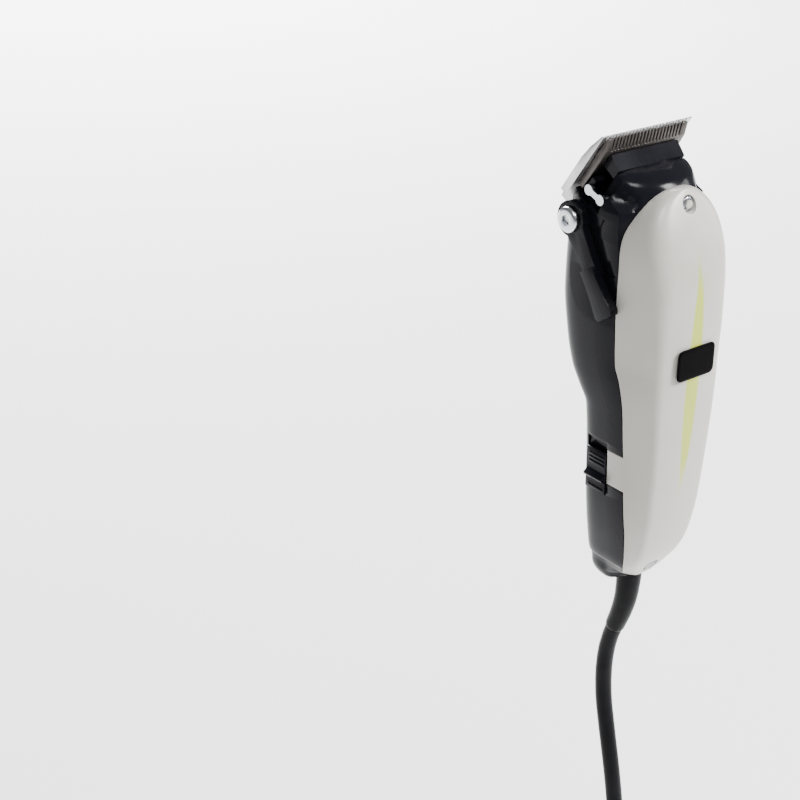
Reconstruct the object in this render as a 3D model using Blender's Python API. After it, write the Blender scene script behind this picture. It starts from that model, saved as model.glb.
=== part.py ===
"""Corded hair clipper with a vibrating-arm motor, modelled as separate parts.

Lengths below are in millimetres and are turned into metres when a mesh is made.
+Z runs up the long axis to the blades, the cream cover faces -Y and the taper
lever is on the -X side. The origin is the middle of the waist, where a fork
holder carries the clipper.
"""

import math

import bmesh
import bpy
import numpy as np
from mathutils import Vector

MM = 0.001
GAP = 0.3
RIM_GAP = 0.4

# Blades: both lie along one plane that leans back from the long axis.
BLADE_WIDTH = 44.0
BLADE_TIP = (10.0, 94.0)
BLADE_LEAN = math.radians(35.0)
FIXED_LENGTH = 35.0
FIXED_THICKNESS = 3.2
MOVING_WIDTH = 39.6
MOVING_START = 1.0
MOVING_END = 24.0
MOVING_THICKNESS = 3.0
TOOTH_PITCH = 1.65
FINGER_V = (17.0, 20.0)
SCREW_X = 14.5
SCREW_V = 28.5

# Shells.
WALL = 2.0
HOUSING_WALL = 2.2
BACK_PAD_Y = 31.7
ARCH_CENTRE = 44.0
ARCH_TOP = 76.0
ARCH_POWER = 2.25
TAIL_END = -82.0
HOUSING_END = -87.0
NOSE_TOP = 81.6
NOSE_CROWN = 6.0
NOSE_REACH = 20.0
POCKET_W = 9.9
SIDE_POCKET_W = 14.4
CORNER_POWER = 6.0
FRONT_STEPS = 8

# Motion.
LEVER_HUB = (21.4, 62.1)
CRANK_THROW = 2.4
ARM_PIVOT = (-8.0, -14.0)

# Motor, in the (x, z) plane; the stack is centred on MOTOR_Y.
MOTOR_Y = 3.5
STACK = 15.0
POLE_X = -3.5
CORE_BACK_X = 15.0
AIR_GAP = 1.5

# Cord.
CORD_RADIUS = 3.5
RELIEF_TOP_RADIUS = 5.3
RELIEF_END_RADIUS = 4.3
HANK_TOP = -229.0
HANK_RADIUS = 28.0
HANK_STRAIGHT = 130.0
HANK_TURNS = 5
HANK_FRONT_Y = 0.0
HANK_BACK_Y = HANK_FRONT_Y + 2 * CORD_RADIUS * HANK_TURNS
HANK_Y = (HANK_FRONT_Y + HANK_BACK_Y) / 2
HANK_HALF_DEPTH = (HANK_TURNS + 1) * CORD_RADIUS + 0.5
CORD_END_LENGTH = 17.0
TIE_WALL = 1.7

# Body stations, read along z by smooth interpolation.
HALF_WIDTH = [
    (-87, 10.0), (-84, 13.2), (-76, 14.6), (-72, 15.9), (-66, 17.0), (-56, 18.5), (-46, 19.5),
    (-26, 20.5), (-10, 21.5), (6, 22.3), (34, 22.6), (52, 22.0), (64, 21.5), (76, 20.2),
    (79, 18.8), (81.6, 16.8),
]
COVER_HALF_WIDTH = [
    (-82, 6.8), (-80, 10.2), (-77, 13.2), (-72, 15.8), (-66, 17.0), (-56, 18.5), (-46, 19.5),
    (-26, 20.5), (-10, 21.5), (6, 22.3), (34, 22.6), (78, 22.6),
]
RIM = [
    (-87, -1.9), (-82, -2.4), (-77, -5.2), (-72, -7.6), (-66, -9.2), (-56, -9.8), (-46, -9.4),
    (-20, -8.3), (-4, -7.6), (6, -5.6), (13, -2.9), (24, -2.2), (34, -1.8), (81, -1.8),
]
FACE = [
    (-82, -4.7), (-77, -7.8), (-72, -11.0), (-66, -13.8), (-58, -16.2), (-46, -18.2), (-20, -20.0),
    (6, -20.6), (24, -20.9), (40, -20.6), (52, -18.8), (58, -17.2), (64, -15.2), (71, -12.2), (78, -8.9),
]
CREASE = [
    (-82, 0.66), (-46, 0.66), (-10, 0.675), (6, 0.69), (24, 0.735), (44, 0.78), (58, 0.84), (78, 0.90),
]
NOSE_CENTRE = [
    (66, -6.3), (72, -6.2), (75, -5.5), (78, -3.7), (80, -0.4), (81, 3.0), (81.6, 6.0),
]
NOSE_DROP = [(66, 6.0), (70, 6.8), (75.6, 10.6), (80, 10.0), (81.6, 7.0)]
CREASE_DROP = 0.13
CREASE_ROUND = 4.5
BACK = [
    (-87, 10.5), (-84, 13.6), (-76, 15.3), (-56, 15.8), (-20, 16.0), (-9, 16.6), (-2, 21.0), (5, 25.2),
    (18, 28.6), (34, 31.0), (50, 31.2), (66, 30.2), (81, 30.2),
]


# ---------------------------------------------------------------- interpolation

def smooth(table, z):
    """Monotone cubic through a table of (z, value) rows."""
    zs = np.array([row[0] for row in table], dtype=float)
    vs = np.array([row[1] for row in table], dtype=float)
    slopes = np.diff(vs) / np.diff(zs)
    tangents = np.empty_like(vs)
    tangents[0] = slopes[0]
    tangents[-1] = slopes[-1]
    for i in range(1, len(vs) - 1):
        a, b = slopes[i - 1], slopes[i]
        tangents[i] = 0.0 if a * b <= 0 else 2 * a * b / (a + b)
    z = min(max(z, zs[0]), zs[-1])
    i = min(int(np.searchsorted(zs, z, side="right")) - 1, len(zs) - 2)
    h = zs[i + 1] - zs[i]
    t = (z - zs[i]) / h
    start = vs[i] * (1 + 2 * t) * (1 - t) ** 2 + tangents[i] * h * t * (1 - t) ** 2
    end = vs[i + 1] * t * t * (3 - 2 * t) + tangents[i + 1] * h * t * t * (t - 1)
    return float(start + end)


def blend_step(z, low, high):
    t = min(max((z - low) / (high - low), 0.0), 1.0)
    return t * t * (3 - 2 * t)


# ---------------------------------------------------------------- mesh tools

def material(name, colour, roughness, metallic=0.0):
    mat = bpy.data.materials.new(name)
    mat.use_nodes = True
    shader = mat.node_tree.nodes["Principled BSDF"]
    shader.inputs["Base Color"].default_value = (*colour, 1.0)
    shader.inputs["Roughness"].default_value = roughness
    shader.inputs["Metallic"].default_value = metallic
    mat.diffuse_color = (*colour, 1.0)
    return mat


def place(bm, name, mat=None, parent=None, origin=(0.0, 0.0, 0.0)):
    """Turn a millimetre bmesh into an object whose origin is at the given point."""
    bmesh.ops.recalc_face_normals(bm, faces=bm.faces)
    bmesh.ops.translate(bm, vec=-Vector(origin), verts=bm.verts)
    bmesh.ops.scale(bm, vec=(MM, MM, MM), verts=bm.verts)
    mesh = bpy.data.meshes.new(name)
    bm.to_mesh(mesh)
    bm.free()
    mesh.shade_smooth()
    mesh.set_sharp_from_angle(angle=math.radians(35))
    obj = bpy.data.objects.new(name, mesh)
    bpy.context.scene.collection.objects.link(obj)
    if mat:
        mesh.materials.append(mat)
    obj.location = Vector(origin) * MM
    if parent:
        obj.parent = parent
        obj.location = Vector(origin) * MM - parent.location
    return obj


def joint_empty(name, point):
    empty = bpy.data.objects.new(name, None)
    empty.location = Vector(point) * MM
    bpy.context.scene.collection.objects.link(empty)
    return empty


def combine(obj, shape, operation):
    """Boolean with a hidden wire-displayed helper made from a bmesh, or with a helper object."""
    helper = shape
    if isinstance(shape, bmesh.types.BMesh):
        helper = place(shape, f"{obj.name}_{operation.lower()}_{len(obj.modifiers)}")
    helper.hide_render = True
    helper.display_type = "WIRE"
    modifier = obj.modifiers.new(f"{operation.lower()}_{len(obj.modifiers)}", "BOOLEAN")
    modifier.operation = operation
    modifier.object = helper
    return obj


def cut(obj, shape):
    return combine(obj, shape, "DIFFERENCE")


def add(obj, shape):
    return combine(obj, shape, "UNION")


def loft(rings):
    """Closed body through rings of equal length, capped at both ends."""
    bm = bmesh.new()
    rows = [[bm.verts.new(point) for point in ring] for ring in rings]
    count = len(rows[0])
    for lower, upper in zip(rows, rows[1:]):
        for i in range(count):
            j = (i + 1) % count
            bm.faces.new((lower[i], lower[j], upper[j], upper[i]))
    bm.faces.new(rows[0])
    bm.faces.new(rows[-1])
    return bm


def prism(outline, axis, low, high):
    """Outline of (a, b) points extruded along an axis; a and b are the other two, in order."""
    def point(a, b, c):
        return {"X": (c, a, b), "Y": (a, c, b), "Z": (a, b, c)}[axis]
    return loft([[point(a, b, c) for a, b in outline] for c in (low, high)])


def box(low, high):
    outline = [(low[0], low[1]), (high[0], low[1]), (high[0], high[1]), (low[0], high[1])]
    return prism(outline, "Z", low[2], high[2])


def circle(centre, radius, count):
    steps = [2 * math.pi * (i + 0.5) / count for i in range(count)]
    return [(centre[0] + radius * math.cos(a), centre[1] + radius * math.sin(a)) for a in steps]


def turned(profile, start, direction, count=20):
    """Solid turned from (radius, distance) points about a line from start along direction."""
    axis = Vector(direction).normalized()
    side = axis.orthogonal().normalized()
    other = axis.cross(side)
    rings = []
    for radius, along in profile:
        centre = Vector(start) + axis * along
        angles = [2 * math.pi * i / count for i in range(count)]
        rings.append([centre + radius * (math.cos(a) * side + math.sin(a) * other) for a in angles])
    return loft(rings)


def rod(start, end, radius, count=16):
    span = Vector(end) - Vector(start)
    return turned([(radius, 0.0), (radius, span.length)], start, span, count)


def arc(centre, radius, first, last, steps):
    angles = [math.radians(first + (last - first) * i / steps) for i in range(steps + 1)]
    return [(centre[0] + radius * math.cos(a), centre[1] + radius * math.sin(a)) for a in angles]


def cell_plate(xs, vs, present, top, bottom, shift):
    """Plate in the blade frame made of grid cells, each of them there or left out."""
    bm = bmesh.new()
    cache = {}

    def vert(i, j, side):
        key = (i, j, side)
        if key not in cache:
            x = xs[i] + shift(i, j)
            w = top(vs[j]) if side else bottom(vs[j])
            cache[key] = bm.verts.new(blade_point(x, vs[j], w))
        return cache[key]

    def there(i, j):
        return 0 <= i < len(xs) - 1 and 0 <= j < len(vs) - 1 and present(i, j)

    for i in range(len(xs) - 1):
        for j in range(len(vs) - 1):
            if not there(i, j):
                continue
            for side in (0, 1):
                corners = [(i, j), (i + 1, j), (i + 1, j + 1), (i, j + 1)]
                bm.faces.new([vert(a, b, side) for a, b in corners])
            walls = [
                ((i - 1, j), (i, j), (i, j + 1)), ((i + 1, j), (i + 1, j), (i + 1, j + 1)),
                ((i, j - 1), (i, j), (i + 1, j)), ((i, j + 1), (i, j + 1), (i + 1, j + 1)),
            ]
            for neighbour, a, b in walls:
                if not there(*neighbour):
                    bm.faces.new([vert(*a, 0), vert(*b, 0), vert(*b, 1), vert(*a, 1)])
    return bm


def tube(name, points, radius, mat, resolution=2):
    curve = bpy.data.curves.new(name, "CURVE")
    curve.dimensions = "3D"
    curve.bevel_depth = radius * MM
    curve.bevel_resolution = resolution
    curve.use_fill_caps = True
    spline = curve.splines.new("POLY")
    spline.points.add(len(points) - 1)
    for target, point in zip(spline.points, points):
        target.co = (*(Vector(point) * MM), 1.0)
    curve.materials.append(mat)
    obj = bpy.data.objects.new(name, curve)
    bpy.context.scene.collection.objects.link(obj)
    return obj


def smooth_route(route, spacing):
    """Even points on a Catmull-Rom curve through the route."""
    points = [Vector(p) for p in route]
    padded = [2 * points[0] - points[1], *points, 2 * points[-1] - points[-2]]
    dense = []
    for a, b, c, d in zip(padded, padded[1:], padded[2:], padded[3:]):
        for step in range(24):
            t = step / 24
            dense.append(0.5 * (2 * b + (c - a) * t + (2 * a - 5 * b + 4 * c - d) * t * t
                                + (3 * b - a - 3 * c + d) * t ** 3))
    dense.append(points[-1])
    lengths = [0.0]
    for a, b in zip(dense, dense[1:]):
        lengths.append(lengths[-1] + (b - a).length)
    count = max(2, round(lengths[-1] / spacing) + 1)
    table = np.array([tuple(p) for p in dense])
    wanted = np.linspace(0.0, lengths[-1], count)
    return [tuple(np.interp(s, lengths, table[:, k]) for k in range(3)) for s in wanted]


# ---------------------------------------------------------------- frames and sections

def blade_point(x, v, w):
    """v runs down the blade plane from the tooth tips, w runs from it into the body."""
    y = BLADE_TIP[0] + v * math.sin(BLADE_LEAN) - w * math.cos(BLADE_LEAN)
    z = BLADE_TIP[1] - v * math.cos(BLADE_LEAN) - w * math.sin(BLADE_LEAN)
    return (x, y, z)


def blade_prism(outline, low, high):
    """Outline of (v, w) points extruded from x = low to x = high."""
    return loft([[blade_point(x, v, w) for v, w in outline] for x in (low, high)])


def blade_box(x, v, w):
    return blade_prism([(v[0], w[0]), (v[1], w[0]), (v[1], w[1]), (v[0], w[1])], x[0], x[1])


def front_y(x, z):
    """Front surface of the housing: flat rim below, crowned nose that leans back above."""
    side = (abs(x) / NOSE_REACH) ** 2.2
    if z > NOSE_CENTRE[0][0]:
        return smooth(NOSE_CENTRE, z) + smooth(NOSE_DROP, z) * side
    rise = blend_step(z, 48.0, NOSE_CENTRE[0][0])
    edge = smooth(RIM, z) + GAP
    edge += (-0.3 - edge) * rise
    return edge - NOSE_CROWN * rise * (1 - side)


def cover_width(z, inset=0.0):
    width = smooth(COVER_HALF_WIDTH, z) - inset
    if z > ARCH_CENTRE:
        share = min((z - ARCH_CENTRE) / (ARCH_TOP - ARCH_CENTRE + 0.4 - inset), 1.0)
        width *= (1 - share ** ARCH_POWER) ** (1 / ARCH_POWER)
    return width


def cover_ring(z, inset=0.0, depth=9.0):
    """Side wall, rounded crease and gently domed face of the cover at one height."""
    width = cover_width(z, inset)
    rim = smooth(RIM, z)
    face = smooth(FACE, z) + inset
    crease = Vector((width * smooth(CREASE, z), face + CREASE_DROP * (rim - face)))
    wall_foot = Vector((width, rim))
    wall_dir = (wall_foot - crease).normalized()
    reach = min(CREASE_ROUND, 0.45 * (wall_foot - crease).length, 0.45 * crease.x)
    wall_end = crease + wall_dir * reach
    inner_x = crease.x - reach
    face_end = Vector((inner_x, face + (crease.y - face) * (inner_x / crease.x) ** 2))
    half = [Vector((width, rim + depth)), wall_foot, wall_end]
    for t in (0.25, 0.5, 0.75):
        half.append(wall_end * (1 - t) ** 2 + crease * 2 * t * (1 - t) + face_end * t * t)
    for share in (1.0, 0.67, 0.33):
        x = inner_x * share
        half.append(Vector((x, face + (crease.y - face) * (x / crease.x) ** 2)))
    right = [(p.x, p.y, z) for p in half]
    left = [(-p.x, p.y, z) for p in reversed(half)]
    return right + [(0.0, face, z)] + left


def housing_ring(z, inset=0.0, front=None):
    """Nose or rim line in front, squared-off round back behind."""
    width = smooth(HALF_WIDTH, z) - inset
    back = smooth(BACK, z) - inset
    rim = smooth(RIM, z)
    ring = []
    steps = 14
    for i in range(steps + 1):
        angle = math.pi * i / steps
        c, s = math.cos(angle), math.sin(angle)
        x = width * math.copysign(abs(c) ** (2 / CORNER_POWER), c)
        y = rim + (back - rim) * abs(s) ** (2 / CORNER_POWER)
        if 0 < i < steps:
            ring.append((x, y, z))
    for i in range(FRONT_STEPS + 1):
        x = -width + 2 * width * i / FRONT_STEPS
        y = front_y(x, z) if front is None else front
        ring.append((x, y, z))
    return ring


def stations(low, high, count, extra=()):
    values = set(round(float(v), 3) for v in np.linspace(low, high, count))
    values.update(extra)
    return sorted(values)


# ---------------------------------------------------------------- casing

HOUSING_LEVELS = stations(HOUSING_END, NOSE_TOP, 17, (-84.0, -76.0, -72.0, -9.0, -2.0, 5.0, 75.0, 78.0, 80.0, 81.0))


def make_housing(mat):
    rings = [housing_ring(z) for z in HOUSING_LEVELS]
    rounded = [(x * 0.97, y + 1.0 if y < 18 else y - 0.8, NOSE_TOP + 0.6) for x, y, _ in rings[-1]]
    obj = place(loft(rings + [rounded]), "bottom_housing", mat)
    cavity = stations(-80.0, 58.0, 11, (-9.0, -2.0, 5.0))
    cut(obj, loft([housing_ring(z, HOUSING_WALL, smooth(RIM, z) - 12.0) for z in cavity]))
    cut(obj, box((-13.5, -1.2, 52.0), (13.5, 28.4, 62.0)))
    cut(obj, box((-13.0, 1.0, 60.0), (13.0, 28.4, 75.8)))
    cut(obj, box((-5.5, -3.2, 60.0), (5.5, 28.2, 72.0)))
    cut(obj, box((-11.0, 3.0, 60.0), (11.0, 28.2, 77.8)))
    cut(obj, blade_prism([(-8, -40), (26.5, -40), (26.5, POCKET_W), (-8, POCKET_W)], -30, 30))
    cut(obj, blade_prism([(-8, -40), (60, -40), (60, 0.3), (-8, 0.3)], -31, 31))
    for side in (-1, 1):
        sides = sorted((side * 16.8, side * 32.0))
        cut(obj, blade_box(sides, (-8, 24.0), (POCKET_W - 1, SIDE_POCKET_W)))
    cut(obj, lever_recess())
    cut(obj, rod((-30, *LEVER_HUB), (-13.0, *LEVER_HUB), 3.3))
    cut(obj, tab_box(GAP))
    cut(obj, box((-22.5, -0.1, -43.0), (-18.8, 10.9, -20.8)))
    cut(obj, box((-19.5, 2.4, -38.0), (-16.0, 7.6, -26.0)))
    cut(obj, rod((0, 3.4, -90), (0, 3.4, -79), RELIEF_TOP_RADIUS + 0.4, 20))
    cut(obj, box((-6.9, -3.0, -82.7), (6.9, 10.1, -79.0)))
    add_bosses(obj)
    for x in (-SCREW_X, SCREW_X):
        start = Vector(blade_point(x, SCREW_V, 0.0))
        inward = Vector(blade_point(x, SCREW_V, 1.0)) - start
        cut(obj, rod(start - inward, start + inward * 5.5, 1.5, 12))
    cut(obj, rod((30, MOTOR_Y, 50.0), (10, MOTOR_Y, 50.0), 2.1))
    cut(obj, turned([(4.3, 0), (4.3, 9.0)], (30.0, MOTOR_Y, 50.0), (-1, 0, 0)))
    cut(obj, rod((0, -9, 71.3), (0, 0, 71.3), 1.5, 12))
    cut(obj, rear_screw_rod(1.5, 1.5, 13.0))
    add(obj, box((-9.0, 29.4, 26.0), (9.0, BACK_PAD_Y, 50.0)))
    for i in range(5):
        z = -46.0 + 5.0 * i
        cut(obj, box((-7.0, 12.0, z), (7.0, 20.0, z + 1.6)))
    return obj


def lever_recess():
    """Shallow side pocket for the lever, fading out below, around a raised panel in front."""
    depth = [(-32.0, 24.0), (-22.7, 24.0), (-21.4, 44.0), (-21.4, 72.0), (-32.0, 72.0)]
    helper = place(prism(depth, "Y", -7.5, 42.0), "lever_recess_helper")
    panel = [(-12.0, 69.5), (7.4, 67.5), (10.8, 58.0), (7.6, 52.0), (2.0, 46.0), (-12.0, 45.0)]
    return cut(helper, prism(panel, "X", -36.0, -20.0))


def tab_box(grow):
    return box((-24.0, -12.0, -37.6 - grow), (-17.0, -0.4 + grow, -23.3 + grow))


def rear_screw_rod(radius, start, end):
    origin = Vector((0, -6.9, -77.0))
    inward = Vector((0, 0.8, 0.6))
    return rod(origin + inward * start, origin + inward * end, radius, 12)


def add_bosses(obj):
    """Screw bosses and the pads that carry the motor and the arm bracket."""
    for z in (-1.5, 39.5):
        top = MOTOR_Y + STACK / 2 + GAP
        add(obj, rod((12.2, top, z), (12.2, smooth(BACK, z - 2.6) - 0.4, z), 2.6, 14))
        cut(obj, rod((12.2, top - 1, z), (12.2, top + 4.5, z), 1.5, 12))
    add(obj, rod((3.5, 11.6, -14.0), (3.5, 15.0, -14.0), 3.2, 14))
    cut(obj, rod((3.5, 10.0, -14.0), (3.5, 14.6, -14.0), 1.5, 12))
    add(obj, box((-4.0, -3.6, -76.5), (4.0, 14.6, -68.0)))
    add(obj, rod((21.5, MOTOR_Y, 50.0), (15.0, MOTOR_Y, 50.0), 4.4, 16))
    add(obj, box((-17.4, -1.0, -43.5), (-8.6, -0.2, -42.5)))


def make_cover(mat):
    levels = stations(TAIL_END, ARCH_TOP, 17, (-80.0, -77.0, -2.0, 13.0, 64.0, 69.0, 73.0, 75.0))
    obj = place(loft([cover_ring(z) for z in levels]), "top_cover", mat)
    inner = stations(-64.0, 73.4, 11, (-2.0, 13.0, 72.0))
    hollow = place(loft([cover_ring(z, WALL, 14.0) for z in inner]), "cover_hollow")
    cut(hollow, turned([(4.0, 0), (4.0, 30.0)], (0, -20.0, 71.3), (0, 1, 0), 14))
    cut(obj, turned([(3.2, 0), (3.2, 8.4)], (0, -18.0, 71.3), (0, 1, 0), 20))
    cut(obj, rear_screw_rod(3.4, -4.0, 0.7))
    cut(obj, hollow)
    cut(obj, rim_cutter())
    cut(obj, rod((0, -12, 71.3), (0, -2, 71.3), 1.5, 12))
    cut(obj, rear_screw_rod(1.5, 0.0, 9.0))
    return obj


def rim_cutter():
    """Everything behind the parting surface, except the tab beside the switch."""
    rings = []
    levels = [HOUSING_END - 8.0, *HOUSING_LEVELS, NOSE_TOP + 4.0]
    for z in levels:
        width = smooth(HALF_WIDTH, z)
        xs = [-30.0] + [-width + 2 * width * i / FRONT_STEPS for i in range(FRONT_STEPS + 1)] + [30.0]
        front = [(x, front_y(math.copysign(min(abs(x), width), x), z) - RIM_GAP, z) for x in xs]
        rings.append(front + [(30.0, 40.0, z), (-30.0, 40.0, z)])
    helper = place(loft(rings), "parting_helper")
    return cut(helper, tab_box(0.0))


def make_badge(mat):
    """Blank plate on the cover, rounded corners, following the flat of the face."""
    outline = []
    half_w, half_h, round_r = 9.3, 6.1, 2.2
    for cx, cz, first in ((1, 1, 0), (-1, 1, 90), (-1, -1, 180), (1, -1, 270)):
        centre = (cx * (half_w - round_r), cz * (half_h - round_r))
        outline += arc(centre, round_r, first, first + 90, 4)
    face = smooth(FACE, 14.6)
    shape = prism([(x, z + 14.6) for x, z in outline], "Y", face - 0.9, face - GAP)
    return place(shape, "name_badge", mat)


# ---------------------------------------------------------------- fasteners

def screw(name, mat, head_top, direction, head_radius, head_height, shank_radius, length, parent=None):
    """Round head with a driver slot and a plain shank."""
    profile = [
        (head_radius * 0.8, 0.0), (head_radius, head_height * 0.35), (head_radius, head_height),
        (shank_radius, head_height + 0.01), (shank_radius, length - 0.8), (shank_radius * 0.5, length),
    ]
    obj = place(turned(profile, head_top, direction, 16), name, mat, parent, head_top if parent else (0, 0, 0))
    axis = Vector(direction).normalized()
    side = axis.orthogonal().normalized()
    other = axis.cross(side)
    half = 0.35
    ends = []
    for along in (-1.0, head_height * 0.45):
        centre = Vector(head_top) + axis * along
        corners = [(-1, -1), (1, -1), (1, 1), (-1, 1)]
        ends.append([centre + side * a * head_radius * 1.3 + other * b * half for a, b in corners])
    cut(obj, loft(ends))
    return obj


# ---------------------------------------------------------------- blades

def comb_columns(width, pitch):
    """Alternating tooth and gap edges across a blade, with a broad tooth at each side."""
    count = int((width - 4.0) / pitch)
    start = -count * pitch / 2
    xs = [-width / 2]
    for i in range(count):
        xs += [start + (i + 0.25) * pitch, start + (i + 0.75) * pitch]
    xs.append(width / 2)
    return xs


def tip_shift(xs):
    """Teeth narrow towards their tips."""
    def shift(i, j):
        if j > 0 or i in (0, len(xs) - 1):
            return 0.0
        return -0.2 if i % 2 else 0.2
    return shift


def make_fixed_blade(mat):
    xs = comb_columns(BLADE_WIDTH, TOOTH_PITCH)
    vs = [0.0, 7.0, 13.5, FIXED_LENGTH]
    depth = [(0.0, -0.45), (7.0, -2.4), (13.5, -FIXED_THICKNESS), (FIXED_LENGTH, -FIXED_THICKNESS)]
    bm = cell_plate(
        xs, vs, lambda i, j: j > 0 or i % 2 == 0,
        top=lambda v: 0.0,
        bottom=lambda v: float(np.interp(v, [d[0] for d in depth], [d[1] for d in depth])),
        shift=tip_shift(xs),
    )
    obj = place(bm, "fixed_blade", mat)
    for x in (-SCREW_X, SCREW_X):
        start = Vector(blade_point(x, SCREW_V, -6.0))
        end = Vector(blade_point(x, SCREW_V, 2.0))
        cut(obj, rod(start, end, 1.7, 12))
    for side in (-1, 1):
        corner = [(30.5, -8.0), (40.0, -8.0), (40.0, 4.0), (30.5, 4.0)]
        cut(obj, blade_prism(corner, *sorted((side * 19.2, side * 24.0))))
    return obj


def make_moving_blade(mat, parent):
    xs = comb_columns(MOVING_WIDTH, TOOTH_PITCH)
    vs = [MOVING_START, 5.6, MOVING_END]
    rise = [(MOVING_START, 0.95), (5.6, MOVING_THICKNESS), (MOVING_END, MOVING_THICKNESS)]
    bm = cell_plate(
        xs, vs, lambda i, j: j > 0 or i % 2 == 0,
        top=lambda v: float(np.interp(v, [d[0] for d in rise], [d[1] for d in rise])),
        bottom=lambda v: GAP,
        shift=tip_shift(xs),
    )
    obj = place(bm, "moving_blade", mat, parent, blade_point(0, 12.0, 0))
    cut(obj, blade_box((-2.0, 2.0), (14.6, 21.2), (-3.0, 8.0)))
    return obj


def make_blade_guide(mat, parent):
    """Slider that carries the moving blade, with a front lip, a crank tail and an ear for the link."""
    low, high = MOVING_THICKNESS + GAP, 6.2
    origin = blade_point(0, 20.0, low)
    obj = place(blade_box((-12.8, 12.8), (12.2, 25.6), (low, high)), "blade_guide", mat, parent, origin)
    cut(obj, blade_box((-4.6, 4.6), (14.0, 23.0), (low - 3, high + 3)))
    lip_w = POCKET_W - 0.4
    add(obj, blade_prism([(6.9, low), (8.6, lip_w), (12.4, lip_w), (12.4, low)], -16.5, 16.5))
    add(obj, blade_box((-19.6, -12.0), (17.2, 23.2), (low + 0.6, high - 0.2)))
    hub_v, hub_w = hub_in_blade_frame()
    pin_w = hub_w + CRANK_THROW
    tail = [
        (24.0, low), (27.4, low), (29.6, pin_w - 3.6), (35.8, pin_w - 3.6), (35.8, pin_w + 2.8),
        (29.6, pin_w + 2.8), (27.4, high), (24.0, high),
    ]
    add(obj, blade_prism(tail, -8.4, -5.6))
    return cut(obj, blade_box((-9.5, -4.0), (hub_v - 1.5, hub_v + 1.5), (pin_w - 2.2, pin_w + 1.4)))


def hub_in_blade_frame():
    dy = LEVER_HUB[0] - BLADE_TIP[0]
    dz = LEVER_HUB[1] - BLADE_TIP[1]
    v = dy * math.sin(BLADE_LEAN) - dz * math.cos(BLADE_LEAN)
    w = -dy * math.cos(BLADE_LEAN) - dz * math.sin(BLADE_LEAN)
    return v, w


def make_blade_spring(mat, parent):
    """Bowed leaf that presses the guide and moving blade on to the fixed blade."""
    first, last, rise = 13.0, 25.0, 2.6
    xs = [-11.4, -6.6, 6.6, 11.4]
    vs = list(np.linspace(first, last, 9))

    def bow(v):
        return 6.5 + rise * math.sin(math.pi * (v - first) / (last - first)) ** 2
    bm = cell_plate(
        xs, vs, lambda i, j: i != 1 or j in (0, 7),
        top=lambda v: bow(v) + 0.5, bottom=bow, shift=lambda i, j: 0.0,
    )
    return place(bm, "blade_spring", mat, parent, blade_point(0, 20.0, 6.5))


def make_guide_link(mat, parent):
    """Dog-bone link on the guide's ear, with a stud at its free end."""
    a, b = Vector((21.0, 6.2)), Vector((19.6, 12.3))
    along = (b - a).normalized()
    turn = math.degrees(math.atan2(along.y, along.x))
    outline = arc(a, 2.0, turn + 35, turn + 325, 10) + arc(b, 2.0, turn - 145, turn + 145, 10)
    origin = blade_point(-20.0, a.x, a.y)
    obj = place(blade_prism(outline, -21.0, -19.9), "guide_link", mat, parent, origin)
    start = blade_point(-20.5, b.x, b.y)
    end = blade_point(-17.4, b.x, b.y)
    return add(obj, rod(start, end, 1.2, 12))


# ---------------------------------------------------------------- taper lever

def make_lever(mat, parent):
    """Flat lever with a round hub, stepping outwards to a thumb pad at its end."""
    hub = Vector(LEVER_HUB)
    tip = Vector((0.6, 32.2))
    along = (tip - hub).normalized()
    across = Vector((along.y, -along.x))
    length = (tip - hub).length

    def bar(widths):
        right = [tuple(hub + along * s + across * h) for s, h in widths]
        return right, [tuple(hub + along * s - across * h) for s, h in reversed(widths)]

    turn = math.degrees(math.atan2(along.y, along.x))
    right, left = bar([(6.0, 4.9), (10.0, 3.9), (15.0, 3.4), (23.0, 3.3)])
    outline = arc(hub, 7.4, turn + 42, turn + 318, 16) + right + left
    obj = place(prism(outline, "X", -25.0, -21.8), "taper_lever", mat, parent, (-21.8, *LEVER_HUB))
    right, left = bar([(19.0, 3.3), (length - 7.0, 3.7), (length, 4.6), (length + 1.6, 3.6)])
    add(obj, prism(right + left, "X", -26.6, -23.0))
    cut(obj, rod((-30, *LEVER_HUB), (-20, *LEVER_HUB), 3.3, 20))
    return obj


def make_lever_shaft(mat, parent):
    """Shaft through the left wall with a crank disc and an off-centre pin inside."""
    hub_x = -21.8
    profile = [(3.0, 0.0), (3.0, 12.3), (5.0, 12.31), (5.0, 15.8)]
    origin = (-24.9, *LEVER_HUB)
    obj = place(turned(profile, origin, (1, 0, 0), 20), "lever_shaft", mat, parent, (hub_x, *LEVER_HUB))
    hub_v, hub_w = hub_in_blade_frame()
    pin = blade_point(0, hub_v, hub_w + CRANK_THROW)
    return add(obj, rod((-9.5, pin[1], pin[2]), (-5.8, pin[1], pin[2]), 1.1, 12))


def make_lever_screw(mat, parent):
    """Broad steel screw head with a hexagon socket, holding the lever."""
    profile = [(5.0, 0.0), (5.9, 0.7), (5.9, 1.9), (2.7, 1.91), (2.7, 2.0)]
    head_top = (-27.2, *LEVER_HUB)
    obj = place(turned(profile, head_top, (1, 0, 0), 28), "lever_screw", mat, parent, head_top)
    return cut(obj, prism(circle(LEVER_HUB, 2.0, 6), "X", -28.0, -26.0))


# ---------------------------------------------------------------- motor

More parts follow.
